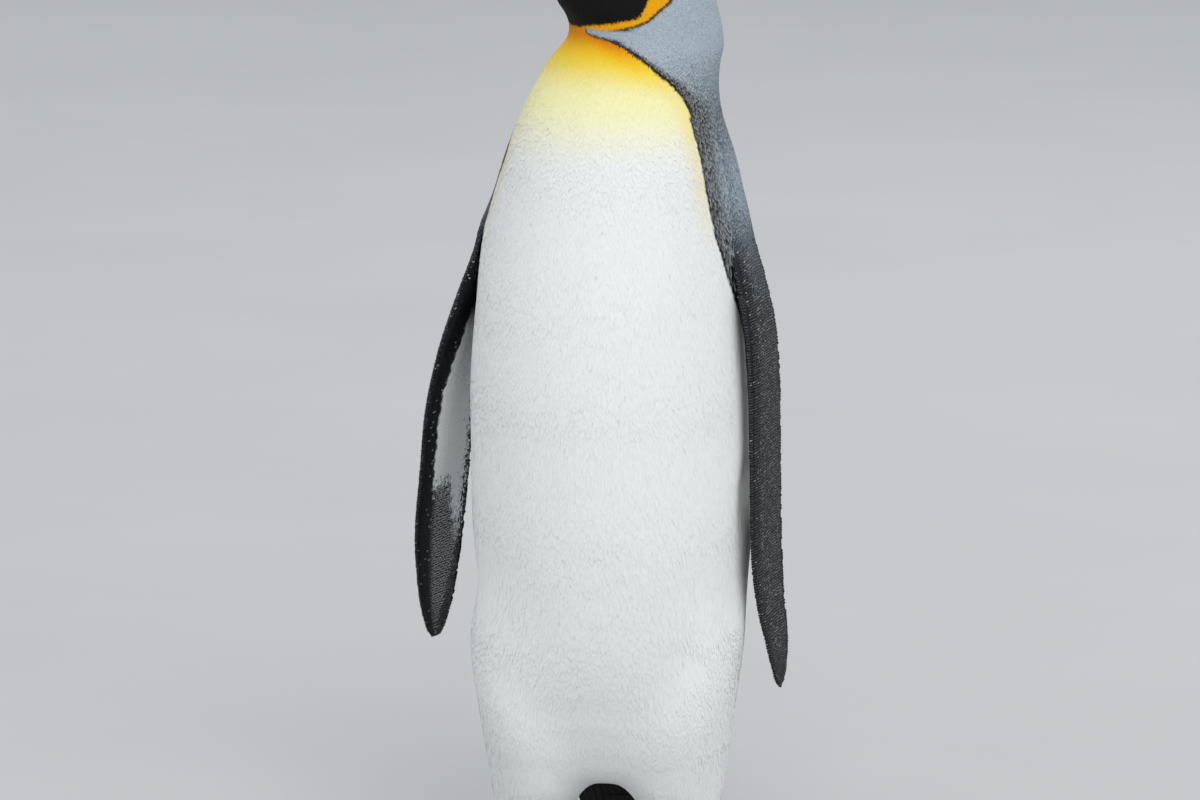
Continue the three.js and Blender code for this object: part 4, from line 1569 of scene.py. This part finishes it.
def plate_markings(points):
    """The lower half's markings: orange plates on its sides, black below and towards the tip."""
    local = in_head(points)
    share = (-local[:, 1] - BILL["start"]) / BILL["length"]
    out = np.abs(local[:, 0]) / bill_shape["half_width"](share)
    plate = smoothstep(0.7, 0.62, share + 0.05 * out) * smoothstep(0.28, 0.42, out)
    return mix(BILL_BLACK, mix(PLATE_ORANGE, PLATE_PINK, smoothstep(0.1, 0.5, share)), plate)


def build_bill():
    look = marked_horn_material("bill_horn")
    for name, depth, side, end in (
        ("bill_upper", bill_shape["upper"], 1, 1),
        ("bill_lower", bill_shape["lower"], -1, BILL["lower_share"]),
    ):
        points, faces = bill_half(depth, side, end)
        made = mesh_object(name, to_row(points), faces, look)
        paint(made, np.broadcast_to(BILL_BLACK, points.shape) if side > 0 else plate_markings(points))
        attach(made, "root")
        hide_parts(name)


def claw_loft(side, toe):
    def place(angle, t):
        along = toe["length"] - CLAW["root"] + CLAW["length"] * t
        ends = np.minimum(cap(0.15 - t, 0.15), np.clip(1 - t, 0, None) ** 0.7)
        radius = CLAW["radius"] * ends
        keel = np.where(np.cos(angle) > 0, 1.15, 0.85)
        height = CLAW["centre"] - (CLAW["centre"] - 1) * t * t + radius * np.cos(angle) * keel
        return toe_point(side, toe["spread"], along, radius * np.sin(angle), height)

    return loft(28, np.linspace(0, 1, 40), place)


def build_claws():
    look = horn_material("claw_horn", CLAW_BLACK)
    for side_name, side in SIDES.items():
        for toe_name, toe in TOES.items():
            name = f"claw_{toe_name}_{side_name}"
            points, faces = claw_loft(side, toe)
            made = mesh_object(name, to_row(points), faces, look)
            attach(made, "root")
            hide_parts(name)


# ---- Floor, light and camera ----

# The lamps' places and sizes in metres, their power in watts, and their linear tints.
LAMPS = {
    "key": {"place": (0.9, -3.1, 4.1), "size": 2.4, "power": 62, "tint": (1.0, 0.99, 0.97)},
    "fill": {"place": (2.0, -3.4, 1.8), "size": 2.4, "power": 22, "tint": (0.97, 0.98, 1.0)},
    "rim": {"place": (0.8, 3.2, 3.0), "size": 2.0, "power": 25, "tint": (1.0, 1.0, 1.0)},
}
LAMP_TARGET = Vector((0, 0, 0.42))
SKY_TINT, SKY_STRENGTH = (0.93, 0.96, 1.0, 1), 0.8
FLOOR_HALF = 30.0


def build_studio():
    """A plain pale floor under an even sky, with three soft lamps."""
    material, tree, shader = nodes_of("floor", 0.8)
    cloud = noise_node(tree, 3, 3)
    shade = ramp_node(tree, cloud.outputs["Fac"], (0.3, 0.53), (0.7, 0.55))
    tree.links.new(shade.outputs["Color"], shader.inputs["Base Color"])
    corners = np.array([(-1, -1, 0), (1, -1, 0), (1, 1, 0), (-1, 1, 0)]) * FLOOR_HALF
    floor = mesh_object("studio_floor", corners, [(0, 1, 2, 3)], material)
    world = bpy.data.worlds.new("studio_sky")
    world.use_nodes = True
    background = world.node_tree.nodes["Background"]
    background.inputs["Color"].default_value = SKY_TINT
    background.inputs["Strength"].default_value = SKY_STRENGTH
    bpy.context.scene.world = world
    for name, light in LAMPS.items():
        build_lamp(name, **light)


def build_lamp(name, place, size, power, tint):
    """A square soft light, aimed at the middle of the bird."""
    light = bpy.data.lights.new(name, "AREA")
    light.size = size
    light.energy = power
    light.color = tint
    made = add_object(name, light)
    made.location = place
    made.rotation_euler = (LAMP_TARGET - Vector(place)).to_track_quat("-Z", "Y").to_euler()


def build_camera():
    """The photograph's view: a long lens, a little above the bird and a little to its left."""
    azimuth, elevation, distance = math.radians(6), math.radians(11), 5.5
    millimetres_per_pixel, picture_width = 0.75, 1200
    axis_pixel, middle_pixel, floor_pixel, middle_row = 609.5, 600, 893, 400
    back = Vector((
        math.sin(azimuth) * math.cos(elevation),
        -math.cos(azimuth) * math.cos(elevation),
        math.sin(elevation),
    ))
    right = Vector((math.cos(azimuth), math.sin(azimuth), 0))
    height = (floor_pixel - middle_row) * millimetres_per_pixel / math.cos(elevation) / 1000
    axis = Vector((*to_row(np.zeros(3))[:2], height))
    target = axis - right * (axis_pixel - middle_pixel) * millimetres_per_pixel / 1000
    data = bpy.data.cameras.new("camera")
    data.sensor_width = 36
    data.lens = distance * 1000 / millimetres_per_pixel * data.sensor_width / picture_width
    data.clip_end = 100
    camera = add_object("camera", data)
    camera.location = target + back * distance
    camera.rotation_euler = (-back).to_track_quat("-Z", "Y").to_euler()
    bpy.context.scene.camera = camera


# ---- The bird in its studio ----

build_coat(build_skin())
build_eyes()
build_bill()
build_claws()
build_studio()
build_camera()
bpy.context.scene.view_settings.view_transform = "Standard"
